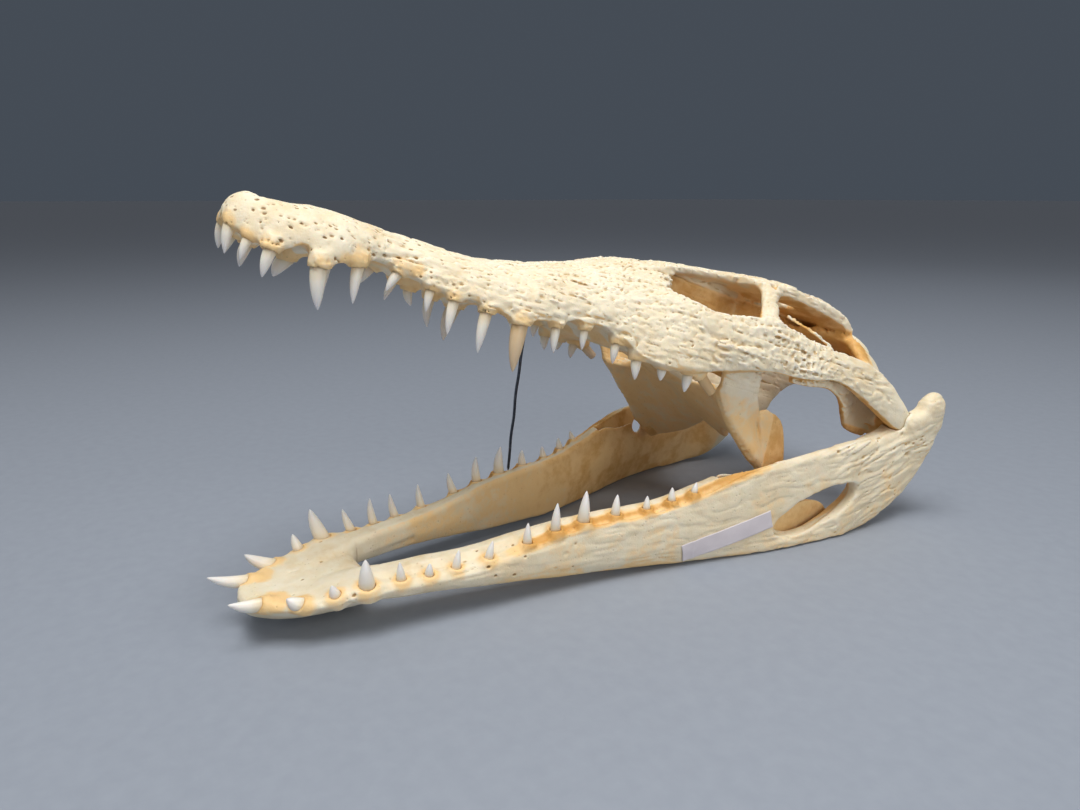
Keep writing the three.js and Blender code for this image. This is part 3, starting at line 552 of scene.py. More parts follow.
WEB = [  # fills the corner between the wing and the strut
    ((38, 106.4, -7.4), (5.2, 4.6, 0), (-1.1, 1.1, -1.4)), ((37, 99.6, -13), (4, 5.2, 0), (-1.1, 1.1, -1.4)),
    ((36.5, 91.7, -19.8), (3.5, 5.7, 0), (-1.1, 1.1, -1.4)), ((37.9, 80.8, -28.2), (2.9, 5.2, 0), (-0.9, 0.9, -1.1)),
    ((40, 73.6, -34.2), (2, 4.2, 0), (-0.7, 0.7, -0.9))]
skull.limb(WEB, power=2.2, soft=6)
TORUS = [
    ((41, 77, -11.6), (1.2, 0, 0), (0, 2.4, -1)), ((41.6, 73, -14.6), (2, 0, 0), (0, 7.4, -1.6)),
    ((42, 69.6, -19.6), (2.2, 0, 0), (0, 8.6, -1)), ((43, 64.4, -32), (2.3, 0, 0), (0, 8.6, 0)),
    ((43.4, 62.6, -39), (2.2, 0, 0), (0, 6.6, 0)), ((43.6, 62, -42.6), (1.6, 0, 0), (0, 3.4, 0))]
skull.limb(TORUS, power=4.5, soft=1)
CURTAIN = [  # the inner wall under the rear cheek: x, forwards, lower edge, upper edge, half thickness
    (53.6, 80, 4.4, 12, 1.8), (54.4, 68, 5.2, 15, 2), (54.6, 54, 6.6, 17, 2), (54, 43, 4.6, 18, 2.1),
    (52.4, 35, -0.4, 19, 2.2),
    (49.4, 27, -5, 20, 2.3), (47, 20, -9, 18, 2.4), (46, 11, -10.6, 14, 2.6), (46, 2, -11, 8, 2.6)]
skull.limb([((x, f, (low + top) / 2), (t, 0, 0), (0, 0, (top - low) / 2)) for x, f, low, top, t in CURTAIN],
           power=3, soft=3)
ORBIT_AXIS = np.array([0.5, 0, 0.866])
ORBIT_SIDE = np.array([0.866, 0, -0.5])
ORBIT = [  # forwards, middle and half width sideways
    (145.6, 3, 1.6), (143, 3.2, 5), (139, 3.4, 8.4), (134, 2.6, 12), (127, 1.8, 15.2), (118, 1.6, 17.6),
    (108, 0.6, 19.2),
    (101, 0.4, 18.6), (97, -1.4, 16), (94, -4, 12)]
skull.limb([((30, f, 37) + ORBIT_AXIS * 7 + ORBIT_SIDE * middle, ORBIT_SIDE * half, ORBIT_AXIS * 21)
            for f, middle, half in ORBIT], power=4, soft=3, cut=True, spacing=2.5)
skull.limb(bars("xy", [(30, 84, 47, 5, 7), (33.4, 87, 42.6, 4, 5.4), (37, 90, 38.6, 3.6, 4.6),
                       (42, 93.6, 33.6, 3.6, 4.6), (46, 97, 29.6, 3.8, 5.6), (50, 99, 24, 4, 8)]), power=2, soft=4)
skull.limb(bars("xy", [(18, 60, 30, 5, 8), (18, 60, 44, 6, 9), (18, 60, 60, 8.4, 11.6)]), power=2, soft=3, cut=True)
skull.egg((0, 120, 23), (21, 34, 16), soft=5, cut=True)
skull.limb(level([(134, 4, 34, 42), (124, 5, 29.5, 43), (108, 6, 27.5, 44), (94, 6.4, 25, 44), (82, 7, 22, 44)]),
           power=3, soft=5)
skull.egg((27, 117, 6), (12.5, 26, 12), soft=4, cut=True)
skull.limb(bars("xy", [(0, 309, 6, 5.4, 6), (0, 309, 13, 8, 8.6), (0, 309, 24, 9.4, 10)]), power=2, soft=2.2, cut=True)
skull.limb(bars("xz", [(0, 26, 25, 3.5, 3), (0, 4, 25, 5.4, 4.6)]), power=2, soft=2, cut=True)


def set_sockets(grid, bases, ways, radii, flush=2):
    """A raised collar of bone round the foot of each tooth, and a socket a little wider than its root. The first few
    teeth, which stand flush in the tip, have a lower collar."""
    for count, (base, way, radius) in enumerate(zip(bases, ways, radii)):
        radius = radius - (0.7 if count < flush else 0)
        across = np.cross(way, (0, 1, 0))
        across /= np.linalg.norm(across)
        along = np.cross(across, way)
        grid.limb([(base + way * k, across * (radius + extra), along * (radius + extra))
                   for k, extra in ((-4.5, 0.2), (-1.6, 1.2), (0.6, 0.9))], power=2, soft=2.6, spacing=2, reach=5)
        grid.limb([(base + way * k, across * (radius + 0.05), along * (radius + 0.05)) for k in (-1.6, 4.0)],
                  power=2, soft=0.6, cut=True, spacing=7, reach=3)


upper_bases = UPPER_TEETH[:, [1, 0, 2]]
upper_ways = np.stack([np.full(len(UPPER_TEETH), 0.05), -UPPER_TEETH[:, 5], np.full(len(UPPER_TEETH), -1.0)], 1)
upper_ways /= np.linalg.norm(upper_ways, axis=1)[:, None]
set_sockets(skull, upper_bases, upper_ways, UPPER_TEETH[:, 4])
skull.mirrored()
skull.egg((23.5, 62, -35), (11.5, 21.5, 15), soft=2.5, cut=True)
skull.limb(bars("xz", [(45, 84, 34, 0.9, 0.9), (50.6, 72, 30.6, 0.8, 0.8), (55, 61, 26.6, 0.9, 0.9)]),
           power=2, soft=2, spacing=4)
skull.egg((34, 86.6, 46.4), (2.2, 1.5, 2.6), soft=1, cut=True)
BAND = 2.6
# The spacing, the width and the used share of the pits, alike in the relief and in the colour.
SNOUT_PITS, CHEEK_PITS, JAW_PITS = (2.25, 0.9, 0.9), (2.7, 0.75, 0.4), (3.8, 0.9, 0.5)


def wrinkles(x, y, z, along, across, warp):
    """Long low folds: hills stretched along the bone and warped sideways by wider hills, folded at their middle so that
    each middle line becomes a sharp furrow."""
    shift = warp * cloud(x, y, z, 12, 3)
    return np.abs(2 * cloud(x + shift * 0.6, y, z + shift, (across, along, across), 1) - 1)


def pits(x, y, z, spacing, width, share):
    """Small long pits, 1 at their middle: balls about random seeds, one seed to each cell of a lattice that is
    stretched along the bone, of which only a share is used. The width varies with the seed."""
    near, _, luck = cells(x, y, z, (spacing, spacing * 1.6, spacing))
    near = near * spacing / (0.6 + 0.5 * luck / share)
    return below(near, 0.3 * width, width) * (luck < share)


def weather_cranium():
    """The finish of the cranium's surface, added to the depth in a thin band about it: low lumps everywhere, long
    wrinkles on the snout's sides and the cheek, deep pits towards the snout's tip, and honeycomb on the rear cheek
    and the skull table. Each is kept to the faces that look outwards or up."""
    flat = skull.depth.reshape(-1)
    band = np.flatnonzero(np.abs(flat) < BAND)
    x, y, z = skull.points(band)
    nx, ny, nz = skull.facing(band)
    outward = smooth(nx * np.sign(x) * 0.9 + nz * 0.55, 0.1, 0.6)
    relief = 0.45 * (cloud(x, y, z, 10) - 0.5) + 0.2 * (cloud(x, y, z, 4.2, 2) - 0.5)
    side = np.abs(x)
    cheek = outward * smooth(side + 0.12 * (y - 100), 34, 42)
    folded = outward * smooth(z, -6, 2) * between(y, 0, 30, 262, 290)
    pick = folded > 0.02
    px, py, pz = x[pick], y[pick], z[pick]
    fold = wrinkles(px, py, pz, 24, 4.2, 5)
    fine = wrinkles(px, py, pz, 7.5, 1.7, 3)
    relief[pick] += folded[pick] * (0.52 * smooth(fold, 0, 0.3) + 0.62 * smooth(fine, 0, 0.45) - 0.82)
    pitted = outward * between(y, 205, 262, 316, 323)
    some = outward * smooth(y, 120, 150) * 0.8
    pick = np.maximum(pitted, some) > 0.02
    px, py, pz = x[pick], y[pick], z[pick]
    relief[pick] -= 1.0 * np.maximum(pitted[pick] * pits(px, py, pz, *SNOUT_PITS),
                                     some[pick] * pits(px, py, pz, *CHEEK_PITS))
    comb = cheek * smooth(z, 0, 6) * between(y, 46, 66, 100, 128)
    comb *= 0.45 + 0.55 * smooth(cloud(x, y, z, 16, 4), 0.3, 0.6)
    table = smooth(nz, 0.5, 0.8) * smooth(z, 44, 47) * between(y, 16, 24, 88, 100)
    comb = np.maximum(comb, table * 0.55)
    pick = comb > 0.02
    bent = 4.2 * cloud(x[pick], y[pick], z[pick], 7, 8)
    near, next_, _ = cells(x[pick] + bent, y[pick] + bent, z[pick] - bent, (2.8, 4.2, 2.8))
    relief[pick] -= comb[pick] * 1.3 * smooth(next_ - near, 0.06, 0.42)
    brow = smooth(nz, 0.1, 0.6) * between(y, 96, 112, 205, 262)
    pick = brow > 0.02
    near, next_, _ = cells(x[pick], y[pick], z[pick], (2.2, 3.6, 2.2))
    relief[pick] -= brow[pick] * 0.55 * smooth(next_ - near, 0.05, 0.45)
    flat[band] -= relief


weather_cranium()
# How crowded the bone is about each point: the measure for painted shade in hollows and painted highlight on ridges.
hollow_fine = crowding(skull.depth, 1)
hollow_wide = crowding(skull.depth, 7)


def lay_mesh(name, vertices, quads, attributes, place):
    """A mesh object from vertex and face arrays, its vertices moved into the row's metres by place, with its
    attributes as one number to a vertex."""
    mesh = bpy.data.meshes.new(name)
    mesh.vertices.add(len(vertices))
    mesh.vertices.foreach_set("co", place(vertices).astype(np.float32).ravel())
    mesh.loops.add(quads.size)
    mesh.loops.foreach_set("vertex_index", quads.astype(np.int32).ravel())
    mesh.polygons.add(len(quads))
    mesh.polygons.foreach_set("loop_start", np.arange(0, quads.size, quads.shape[1], dtype=np.int32))
    mesh.polygons.foreach_set("use_smooth", np.ones(len(quads), bool))
    mesh.update(calc_edges=True)
    for key, values in attributes.items():
        mesh.attributes.new(key, "FLOAT", "POINT").data.foreach_set("value", np.asarray(values, np.float32))
    return linked(name, mesh)


GAPE = math.radians(18.4)
JOINT_BACK, JOINT_HEIGHT = 311, 51
ROW_SHIFT = -161.179


def to_row_from_skull(p):
    """From the cranium's own millimetres to the row's metres: turned up by the gape about the jaw joint."""
    c, s = math.cos(GAPE), math.sin(GAPE)
    back, height = JOINT_BACK - p[:, 1] * c + p[:, 2] * s, JOINT_HEIGHT + p[:, 1] * s + p[:, 2] * c
    return np.stack([p[:, 0], back + ROW_SHIFT, height], 1) / 1000


def to_row_from_jaw(p):
    """From the standing jaw's millimetres to the row's metres."""
    return np.stack([p[:, 0], p[:, 1] + ROW_SHIFT, p[:, 2]], 1) / 1000


SUTURE = -0.7


def cut_bone(grid, name, low, high, edges, shade, place):
    """One bone out of a grid: the part of a box on the inner side of every edge, whose function gives millimetres
    beyond it, plus half a suture; a negative suture lets neighbours reach into each other, so that no crack shows.
    shade gives the attributes at the vertices."""
    part, x, y, z = grid.window(low, high)
    depth = grid.depth[part].copy()
    for edge in edges:
        depth = np.maximum(depth, (edge(x, y, z) + SUTURE / 2).astype(np.float32))
    depth[[0, -1]] = np.maximum(depth[[0, -1]], 1)
    depth[:, [0, -1]] = np.maximum(depth[:, [0, -1]], 1)
    depth[:, :, [0, -1]] = np.maximum(depth[:, :, [0, -1]], 1)
    axes = [axis[s] for axis, s in zip(grid.axes, part)]
    vertices, quads = skin(depth, axes, grid.step)
    print(name, len(quads) * 2, "triangles", flush=True)
    piece = lay_mesh(name, vertices, quads, shade(vertices), place)
    facing = facing_at(grid, vertices)
    ends = place(np.eye(3)) - place(np.zeros((1, 3)))
    facing = np.stack(facing, 1) @ (ends * 1000)
    bare = np.empty(len(vertices) * 3, np.float32)
    piece.data.vertices.foreach_get("normal", bare)
    bare = bare.reshape(-1, 3)
    agree = smooth((facing * bare).sum(1), 0.0, 0.5)[:, None]
    facing = bare + (facing - bare) * agree
    piece.data.normals_split_custom_set_from_vertices(facing / np.linalg.norm(facing, axis=1)[:, None])
    return piece


def at_points(values, grid, vertices):
    """Values of a grid at some vertices, blended between the eight grid points about each."""
    place = [np.clip((vertices[:, k] - grid.axes[k][0]) / grid.step, 0, len(grid.axes[k]) - 1.001) for k in range(3)]
    whole = [p.astype(int) for p in place]
    part = [(p - w).astype(np.float32) for p, w in zip(place, whole)]
    weights = [(1 - t, t) for t in part]
    return sum(weights[0][i] * weights[1][j] * weights[2][k] * values[whole[0] + i, whole[1] + j, whole[2] + k]
               for i in (0, 1) for j in (0, 1) for k in (0, 1))


def facing_at(grid, vertices):
    """The outward direction of the uncut bone at some vertices, from the depths a little way to either side."""
    slope = []
    for k in range(3):
        aside = np.zeros(3)
        aside[k] = grid.step * 0.75
        slope.append(at_points(grid.depth, grid, vertices + aside) - at_points(grid.depth, grid, vertices - aside))
    length = np.maximum(np.sqrt(sum(c * c for c in slope)), 1e-6)
    return [c / length for c in slope]


def shade_cranium(p):
    """Attributes of the cranium's bones: hollows of two sizes, ochre staining round the sockets and in patches,
    painted shade as ochre-brown on the inner, downward and sheltered faces and on walls seen through the windows,
    and how porous the face is."""
    x, y, z = np.abs(p[:, 0]), p[:, 1], p[:, 2]
    fine = at_points(hollow_fine, skull, p)
    wide = at_points(hollow_wide, skull, p)
    nx, ny, nz = facing_at(skull, p)
    outward = smooth(nx * np.sign(p[:, 0]) * 0.9 + nz * 0.55, 0.0, 0.5)
    reach = np.min([((x - t[1]) ** 2 + (y - t[0]) ** 2 + (z - t[2]) ** 2) / (t[4] + 2.2) ** 2 for t in UPPER_TEETH], 0)
    patchy = smooth(cloud(*p.T, 7), 0.3, 0.65)
    # Faces that look inwards: their ochre-brown below is painted shade, with some real staining.
    inner = (1 - outward) * below(y, 138, 150) * (1 - smooth(nz, 0.5, 0.9) * smooth(z, 30, 40))
    orbit_band = smooth(z, 20, 29) * smooth(y, 84, 96)
    window_wall = below(x, 49, 53) * between(y, 10, 20, 76, 86) * between(z, 8, 16, 38.5, 41) * smooth(ny, -0.6, -0.2)
    midline_wall = below(x, 8, 13) * between(y, 76, 84, 134, 140) * between(z, 14, 20, 37, 41)
    # Ochre in the attribute of staining and shade: real staining round the sockets, on the snout's lower sides and on
    # the rear flanges; painted shade in recesses, on downward and inner faces, on the strut and on the walls seen
    # through the windows.
    stain = np.maximum.reduce([
        0.9 * np.exp(-reach * 1.1),
        # painted shade in wide recesses
        0.7 * smooth(wide, 0.58, 0.76),
        # painted shade on faces that look down
        0.55 * below(nz, -0.5, 0.1) * smooth(y, 120, 150) * patchy,
        0.5 * between(y, 225, 250, 290, 312) * outward * patchy * below(z, 3, 13),
        0.75 * below(y, 71, 73) * below(z, -8, -6) * smooth(x, 36, 38),
        # painted shade on the inner faces, less low under the palate and in the orbit's upper band
        inner * (0.5 + 0.16 * patchy - 0.12 * below(z, -12, -4) - 0.36 * orbit_band),
        # more painted shade on the inner faces at the rear, and in two spots inside the orbit region
        inner * 0.95 * below(y, 78, 90) * smooth(z, -12, -4) * (0.75 + 0.25 * patchy),
        inner * smooth(y, 82, 92) * below(np.hypot((y - 97) / 13, (z - 26) / 9), 0.6, 1.1),
        inner * below(np.hypot((y - 131) / 12, (z - 24) / 7), 0.6, 1.1),
        # painted shade on the pterygoid strut
        (0.3 + 0.1 * patchy) * below(z, -12, -4) * between(y, 36, 60, 120, 135),
        # painted shade on the window's inner walls and on the midline wall seen through the orbits
        0.9 * window_wall,
        0.8 * midline_wall])
    pit = outward * smooth(y, 205, 262) * pits(*p.T, *SNOUT_PITS)
    pit = np.maximum(pit, outward * smooth(y, 120, 150) * 0.8 * pits(*p.T, *CHEEK_PITS))
    return {"hollow": fine, "shelter": wide, "stain": np.clip(stain, 0, 1), "pit": pit}


def number_of(add, name):
    """The piece's attribute of this name."""
    return add("ShaderNodeAttribute", {"attribute_name": name}).outputs["Fac"]


def blend(add, factor, colour, other):
    """A colour mixed with a plain one."""
    node = add("ShaderNodeMix", {"data_type": "RGBA", "clamp_factor": True}, _0=factor, _6=colour, _7=(*other, 1))
    return node.outputs[2]


def bone_material():
    """Dry bone: cream, whiter on its ridges as painted highlight and browner in crevices and wide recesses as painted
    shade, ochre where the attribute of real staining and painted shade says, and dark in the deepest pits and small
    pores as painted shade, with grain and small pores as bump."""
    material, add, place = nodes_of("bone")

    def sum_of(a, b, operation="ADD"):
        return add("ShaderNodeMath", {"operation": operation}, _0=a, _1=b).outputs["Value"]

    def remap(value, a, b, c=0.0, d=1.0):
        return add("ShaderNodeMapRange", {"interpolation_type": "SMOOTHSTEP"}, Value=value, From_Min=a, From_Max=b,
                   To_Min=c, To_Max=d).outputs["Result"]

    broad, patch = noise(add, place, 45.0, 4.0, 0.6), noise(add, place, 210.0, 5.0, 0.62)
    grain = noise(add, place, 1500.0, 4.0, 0.6)
    pores = add("ShaderNodeTexVoronoi", Vector=place, Scale=330.0, Randomness=1.0).outputs["Distance"]
    colour = ramp(add, broad, [(0.30, (0.76, 0.61, 0.38)), (0.5, (0.83, 0.72, 0.51)), (0.70, (0.87, 0.79, 0.61))])
    hollow, shelter, pit = (number_of(add, name) for name in ("hollow", "shelter", "pit"))
    stain = sum_of(number_of(add, "stain"), remap(patch, 0.3, 0.7, -0.11, 0.11))
    for value, low, high, most, tint in (
            (patch, 0.35, 0.7, 0.5, (0.89, 0.83, 0.69)),
            # painted highlight on the ridges
            (hollow, 0.48, 0.36, 0.6, (0.91, 0.86, 0.74)),
            # painted shade in the crevices
            (hollow, 0.525, 0.64, 0.85, (0.50, 0.34, 0.16)),
            # painted shade in wide recesses
            (shelter, 0.52, 0.74, 0.7, (0.60, 0.42, 0.20)),
            # ochre from the attribute that holds real staining and painted shade
            (stain, 0.12, 0.5, 0.85, (0.93, 0.62, 0.27)),
            (stain, 0.5, 1.0, 0.85, (0.66, 0.33, 0.068)),
            # painted shade in the pits
            (pit, 0.25, 0.9, 0.9, (0.27, 0.155, 0.06)),
            # painted shade in the small pores
            (pores, 0.13, 0.04, 0.35, (0.34, 0.22, 0.11))):
        colour = blend(add, remap(value, low, high, 0.0, most), colour, tint)
    height = sum_of(sum_of(grain, 0.35, "MULTIPLY"), remap(pores, 0.0, 0.22, 0.0, 0.5))
    height = sum_of(height, sum_of(patch, 0.9, "MULTIPLY"))
    bump = add("ShaderNodeBump", Strength=0.55, Distance=0.0006, Height=height).outputs["Normal"]
    rough = remap(broad, 0.3, 0.7, 0.52, 0.66)
    coat(add, Base_Color=colour, Roughness=rough, Normal=bump, Specular_IOR_Level=0.35, Subsurface_Weight=0.12,
         Subsurface_Radius=(1.0, 0.55, 0.3), Subsurface_Scale=0.003)
    return material


BONE = bone_material()


def settle(piece, material, slot, *nodes):
    """Gives a piece its material, hides the CAD nodes that it stands for, and fixes it to the model. Its slot is not
    used.
    """
    piece.data.materials.append(material)
    if nodes:
        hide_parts(*nodes)
    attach(piece, "root")


def wave_line(x, y, z, wave=3.2, size=2.4):
    """How far a suture wanders from its plane, in millimetres."""
    x, y, z = np.broadcast_arrays(x, y, z)
    return size * (cloud(x, y, z, wave, 5) - 0.5) + size * 0.6 * (cloud(x, y, z, wave * 3, 6) - 0.5)


def snout_suture(sign):
    return lambda x, y, z: sign * (y - 271 + wave_line(x, 0, z))


def orbit_suture(sign):
    return lambda x, y, z: sign * (y - 122.5 + wave_line(x, 0, z))


def middle_suture(sign):
    return lambda x, y, z: sign * (x + wave_line(0, y, z, 2.6, 1.2))


def roof_suture(sign, outer):
    """The CAD's slanting plane between the roof and one cheek; outer is 1 for the cheek's side of it."""
    return lambda x, y, z: -outer * (sign * (x - 30 * sign) - 0.35 * (z - 10)) / math.hypot(1, 0.35)


def palate_edge(inside):
    """Outside or inside the palate's bones: below a level with the wings, or under the palatine plane."""
    def edge(x, y, z):
        wings = np.maximum(z + 4.4, 27 - y)
        palatines = np.maximum(np.maximum((z + 1 + 0.149 * (y - 48.5)) / 1.011, 48.5 - y), np.abs(x) - 30)
        beyond = np.minimum(wings, palatines)
        return beyond if inside else -beyond
    return edge


def table_suture(sign):
    return lambda x, y, z: sign * (z - 38 + wave_line(x, y, 0, 4, 2))


def sides(name, near, far, low, high, edges, node):
    """The bones of a pair, left then right. near and far are how far the box reaches from the midline, low and high
    its other two limits, and edges(side) gives the edges."""
    return [(name + label, (min(near * side, far * side), *low), (max(near * side, far * side), *high), edges(side),
             node if node == "maxillae" else node + label) for side, label in SIDES]


def roof_edges(level):
    """The edges of the bones between the two cheeks, above or below the skull table's lower suture."""
    return [orbit_suture(1), roof_suture(1, -1), roof_suture(-1, -1), table_suture(level), palate_edge(False)]


bones = [
    ("premaxillary_bones", (-60, 262, -12), (60, 329, 40), [snout_suture(-1)], "premaxillae"),
    *sides("maxilla_", -4, 70, (116, -30), (282, 58),
           lambda side: [snout_suture(1), orbit_suture(-1), middle_suture(-side)], "maxillae"),
    ("skull_table", (-50, -8, 30), (50, 128, 58), roof_edges(-1), "braincase"),
    ("braincase_bones", (-50, -8, -48), (50, 128, 44), roof_edges(1), "braincase"),
    *sides("cheek_bones_", 20, 70, (-9, -20), (128, 58),
           lambda side: [orbit_suture(1), roof_suture(side, 1), palate_edge(False)], "cheek_"),
    *sides("palate_bones_", -4, 60, (20, -48), (128, 6),
           lambda side: [orbit_suture(1), middle_suture(-side), palate_edge(True)], "pterygoid_"),
]
for name, low, high, edges, node in bones:
    settle(cut_bone(skull, name, low, high, edges, shade_cranium, to_row_from_skull), BONE, "bone", node)
del hollow_fine, hollow_wide

# ---------------------------------------------------------------- the lower jaw's bone
# Two long upright plates that meet at the chin, each with an oval window ahead of its joint. Cleaned bone like the
# cranium's, smooth inside, with the tooth row in a groove. Drawn standing: x, back from the first tooth, height.
CHIN = np.array([  # back, half width, keel, top
    [-3.6, 4, 12.5, 15.4], [-2.8, 7.4, 11, 16.6], [-0.6, 11.4, 8.4, 17.6], [3.6, 15, 5.8, 18], [9, 18.8, 3.6, 18.2],
    [19, 24.2, 1.4, 18.8], [30, 27.6, 0.4, 20.4], [38, 29.6, 0.3, 21.2], [46, 30.4, 2.6, 21]])
PLATE = np.array([  # back, x of the outer face, x of the keel, keel, tooth row, thickness, inner crest
    [24, 20, 6, 12.6, 18, 12, 0], [38, 27.6, 12, 11.4, 20.4, 17, 0.6], [50, 31, 18, 10.4, 20.6, 18.2, 2.4],
    [66, 33, 22, 10, 20.6, 17.6, 3], [84, 35.4, 25.6, 8.6, 21.8, 16.4, 2.6],
    [104, 37.6, 28.4, 6.6, 25.2, 14.8, 2], [122, 39.6, 31, 4.2, 28.6, 13, 1.2],
    [142, 42.8, 34, 2.6, 30, 12.2, 0.8], [162, 46.6, 38, 1.2, 30.4, 12, 1], [182, 51, 44.5, 0.3, 34.4, 12, 0.6],
    [203, 55.8, 51.4, 0.1, 40.4, 12.4, 0], [224, 60.4, 58.6, 0.1, 44.2, 12.6, 0],
    [246, 64.2, 62.8, 0.1, 46, 12.8, 0], [268, 67.4, 65, 0.1, 47.6, 13.4, 0], [288, 69.4, 65.8, 0.3, 48.6, 14.6, 0]])
LOWER_TEETH = np.array([  # back, x, height, root radius, then the tip on the left and the right: x, back, height
    [2.2, 11, 17.2, 2.7, 10.4, -9.6, 20, 12.2, -12.4, 22], [14.6, 19.4, 17, 2.9, 18.4, 9.4, 20.6, 20, 3.6, 24.4],
    [26.6, 23.4, 18.4, 2.2, 24.2, 24.8, 24.2, 25, 24.5, 26.4], [38, 26, 19.6, 3.2, 27, 37.4, 32.6, 27, 33.1, 35],
    [51.2, 27.6, 20, 1.9, 28, 50.6, 28.4, 28, 47.6, 31.5], [62.1, 29, 19.6, 1.9, 30, 62.2, 25.6, 29, 60.6, 33.5],
    [73.2, 30.4, 20, 1.9, 30.6, 74.8, 28.4, 30, 70.6, 33], [87.1, 32, 21.2, 1.9, 32.3, 89.2, 29.4, 32, 85.4, 34.1],
    [104.9, 33.6, 24.6, 2, 33.8, 105.2, 34, 33.5, 101.9, 36], [118, 34.8, 27.8, 2.3, 35, 119.1, 40.1, 35, 118, 40.8],
    [131.5, 36.2, 29, 2.8, 36.2, 133.2, 43, 36, 132.6, 43.2],
    [146.9, 38.6, 29.4, 2.2, 38.4, 148.3, 38.9, 38, 146.3, 38.4],
    [162.2, 41.6, 29.8, 1.8, 41.4, 162.7, 36.1, 41, 160.5, 37.1],
    [174.4, 44.4, 32, 1.9, 44.2, 174.7, 38.5, 44, 172.8, 38.8],
    [185, 47.2, 34.4, 1.7, 47, 186.6, 39.4, 47, 182.6, 40.4]])

jaw = Grid((0, -12, -1.5), (78, 340, 72), STEP)


def carve_chin():
    """The fused chin: a flat deck over a keeled hull. Below its rim the section is a superellipse of power 1.12,
    drawn in towards the keel; above it the sides rise straight and round into the deck."""
    part, x, y, z = jaw.window((0, -12, -1.5), (40, 47, 28))
    half, keel, top = through(CHIN[:, 0], CHIN[:, 1:], y.ravel()).T[:, None, :, None]
    rim = top - 2.6
    a, b = np.abs(x) / half, np.maximum(rim - z, 0) / (rim - keel)
    hull = superellipse(a, b, half, rim - keel, 1.12, 1e-3)
    deck = z - top + 0.9 * below(np.abs(x), half * 0.15, half * 0.55) * smooth(y, 4, 20)
    depth = without(np.clip(hull, -12, 30), -deck, 3.4)
    depth = np.maximum(depth, CHIN[0, 0] - y)
    depth = without(depth, 45.6 - y, 8)
    jaw.put(part, depth.astype(np.float32), 0)


def carve_plate():
    """One side of the jaw: four faces that meet in rounded edges. The outer and inner faces are functions of the
    height above the keel as a share of the plate's height: the outer one falls in to the keel over the lowest third
    (over most of its height near the chin), and the inner one over the lower half."""
    part, x, y, z = jaw.window((0, 22, -1.5), (78, 290, 58))
    outer, keel_x, keel, top, thick, crest = through(PLATE[:, 0], PLATE[:, 1:], y.ravel()).T[:, None, :, None]
    share = np.clip((z - keel) / (top - keel), 0, 1)
    low_part = 0.36 + 0.5 * below(y, 56, 104)
    fall = 1 - np.sqrt(np.clip(1 - (1 - share / low_part).clip(0, 1) ** 1.7, 0, 1))
    face_out = outer + (keel_x - outer + 1.2) * fall
    face_out = face_out - 0.9 * smooth(share, 0.72, 1) - 0.5 * smooth(0.5 - share, 0, 0.3)
    inner = outer - thick
    lean = (1 - share / 0.55).clip(0, 1) ** 1.6
    face_in = inner + (keel_x - 3.2 - inner) * lean
    crown = top + crest * below(x, outer - 10, outer - 5)
    depth = x - face_out
    for face, soft in ((face_in - x, 3.0), (z - crown, 3.4), (keel - z, 2.4)):
        depth = without(depth, -face, soft)
    depth += 3.4 * smooth(y, 268, 290)
    depth = np.maximum(depth, y - 290)
    depth = without(depth, y - 25.5, 8)
    jaw.put(part, depth.astype(np.float32), 5)


carve_chin()
carve_plate()
JAW_END = [  # x, half thickness, lower edge back and height, upper edge back and height
    (63.4, 3, 264, 1.8, 264, 46), (63.2, 4.8, 281, 0.8, 281, 48), (61.6, 7.6, 296, 2.6, 295, 48.6),
    (61.4, 8.2, 308.4, 7.9, 303, 49.6),
    (62, 8.4, 318.4, 14.6, 307.6, 52.4), (64.4, 8, 325, 25, 309.4, 55), (66.8, 7, 329.8, 34, 312, 56.6),
    (68.6, 6, 333, 44, 317.4, 58), (69.8, 5.2, 335.2, 51, 320.2, 60.4), (70.2, 4.8, 335.4, 57.4, 321.4, 63.4),
    (70.3, 3.6, 334, 60, 322.4, 63.6)]
jaw.limb([((x, (lb + hb) / 2, (lo + hi) / 2), (w, 0, 0), (0, (hb - lb) / 2, (hi - lo) / 2))
          for x, w, lb, lo, hb, hi in JAW_END], power=3.0, soft=4)
jaw.egg((70.2, 328.2, 60.4), (4.8, 6.8, 6.6), soft=3)
WINDOW_RISE = np.array((0, 1, 0.3)) / math.hypot(1, 0.3)
WINDOW_TALL = np.array((0, -0.3, 1)) / math.hypot(1, 0.3)


def cut_window(near, far, back, height, half_length, half_height, spacing):
    """An oval hole across the jaw plate from one x to another, its long axis rising to the back."""
    jaw.limb([((x, back, height), WINDOW_RISE * half_length, WINDOW_TALL * half_height) for x in (near, far)],
             power=2.2, soft=2.5, cut=True, spacing=spacing)


cut_window(58.0, 90.0, 250.5, 17.5, 25, 7.6, 20)
jaw.limb(bars("xz", [(46, 200, 38, 2, 4), (50.2, 214, 39, 2.5, 9), (54.4, 238, 42, 2.8, 12), (57.6, 266, 43, 2.8, 12),
                     (60.6, 280, 48, 2, 6)]), power=2.4, soft=1.5, cut=True)
jaw.limb(bars("xz", [(42, 204, 47, 5, 6), (46, 216, 48, 6, 10), (50, 238, 50, 7, 11), (53, 266, 51, 7, 11),
                     (54, 284, 51, 5, 6)]), power=3, soft=3, cut=True)
jaw.limb(bars("xz", [(8, 52, 13, 3.4, 1.6), (13, 62, 13, 2.2, 1.4), (17.6, 76, 14, 1.2, 1)]),
         power=2, soft=2.5, cut=True)
GROOVE = [  # back, half width, half depth of the groove beside the rear teeth
    (88, 0.8, 1.0), (104, 1.2, 1.6), (122, 1.8, 2.4), (142, 2.2, 3.0), (162, 2.4, 3.2), (185, 2.4, 3.0),
    (200, 1.7, 2.4), (216, 0.9, 1.6), (226, 0.5, 0.8)]
GROOVE_ASIDE = 1.6


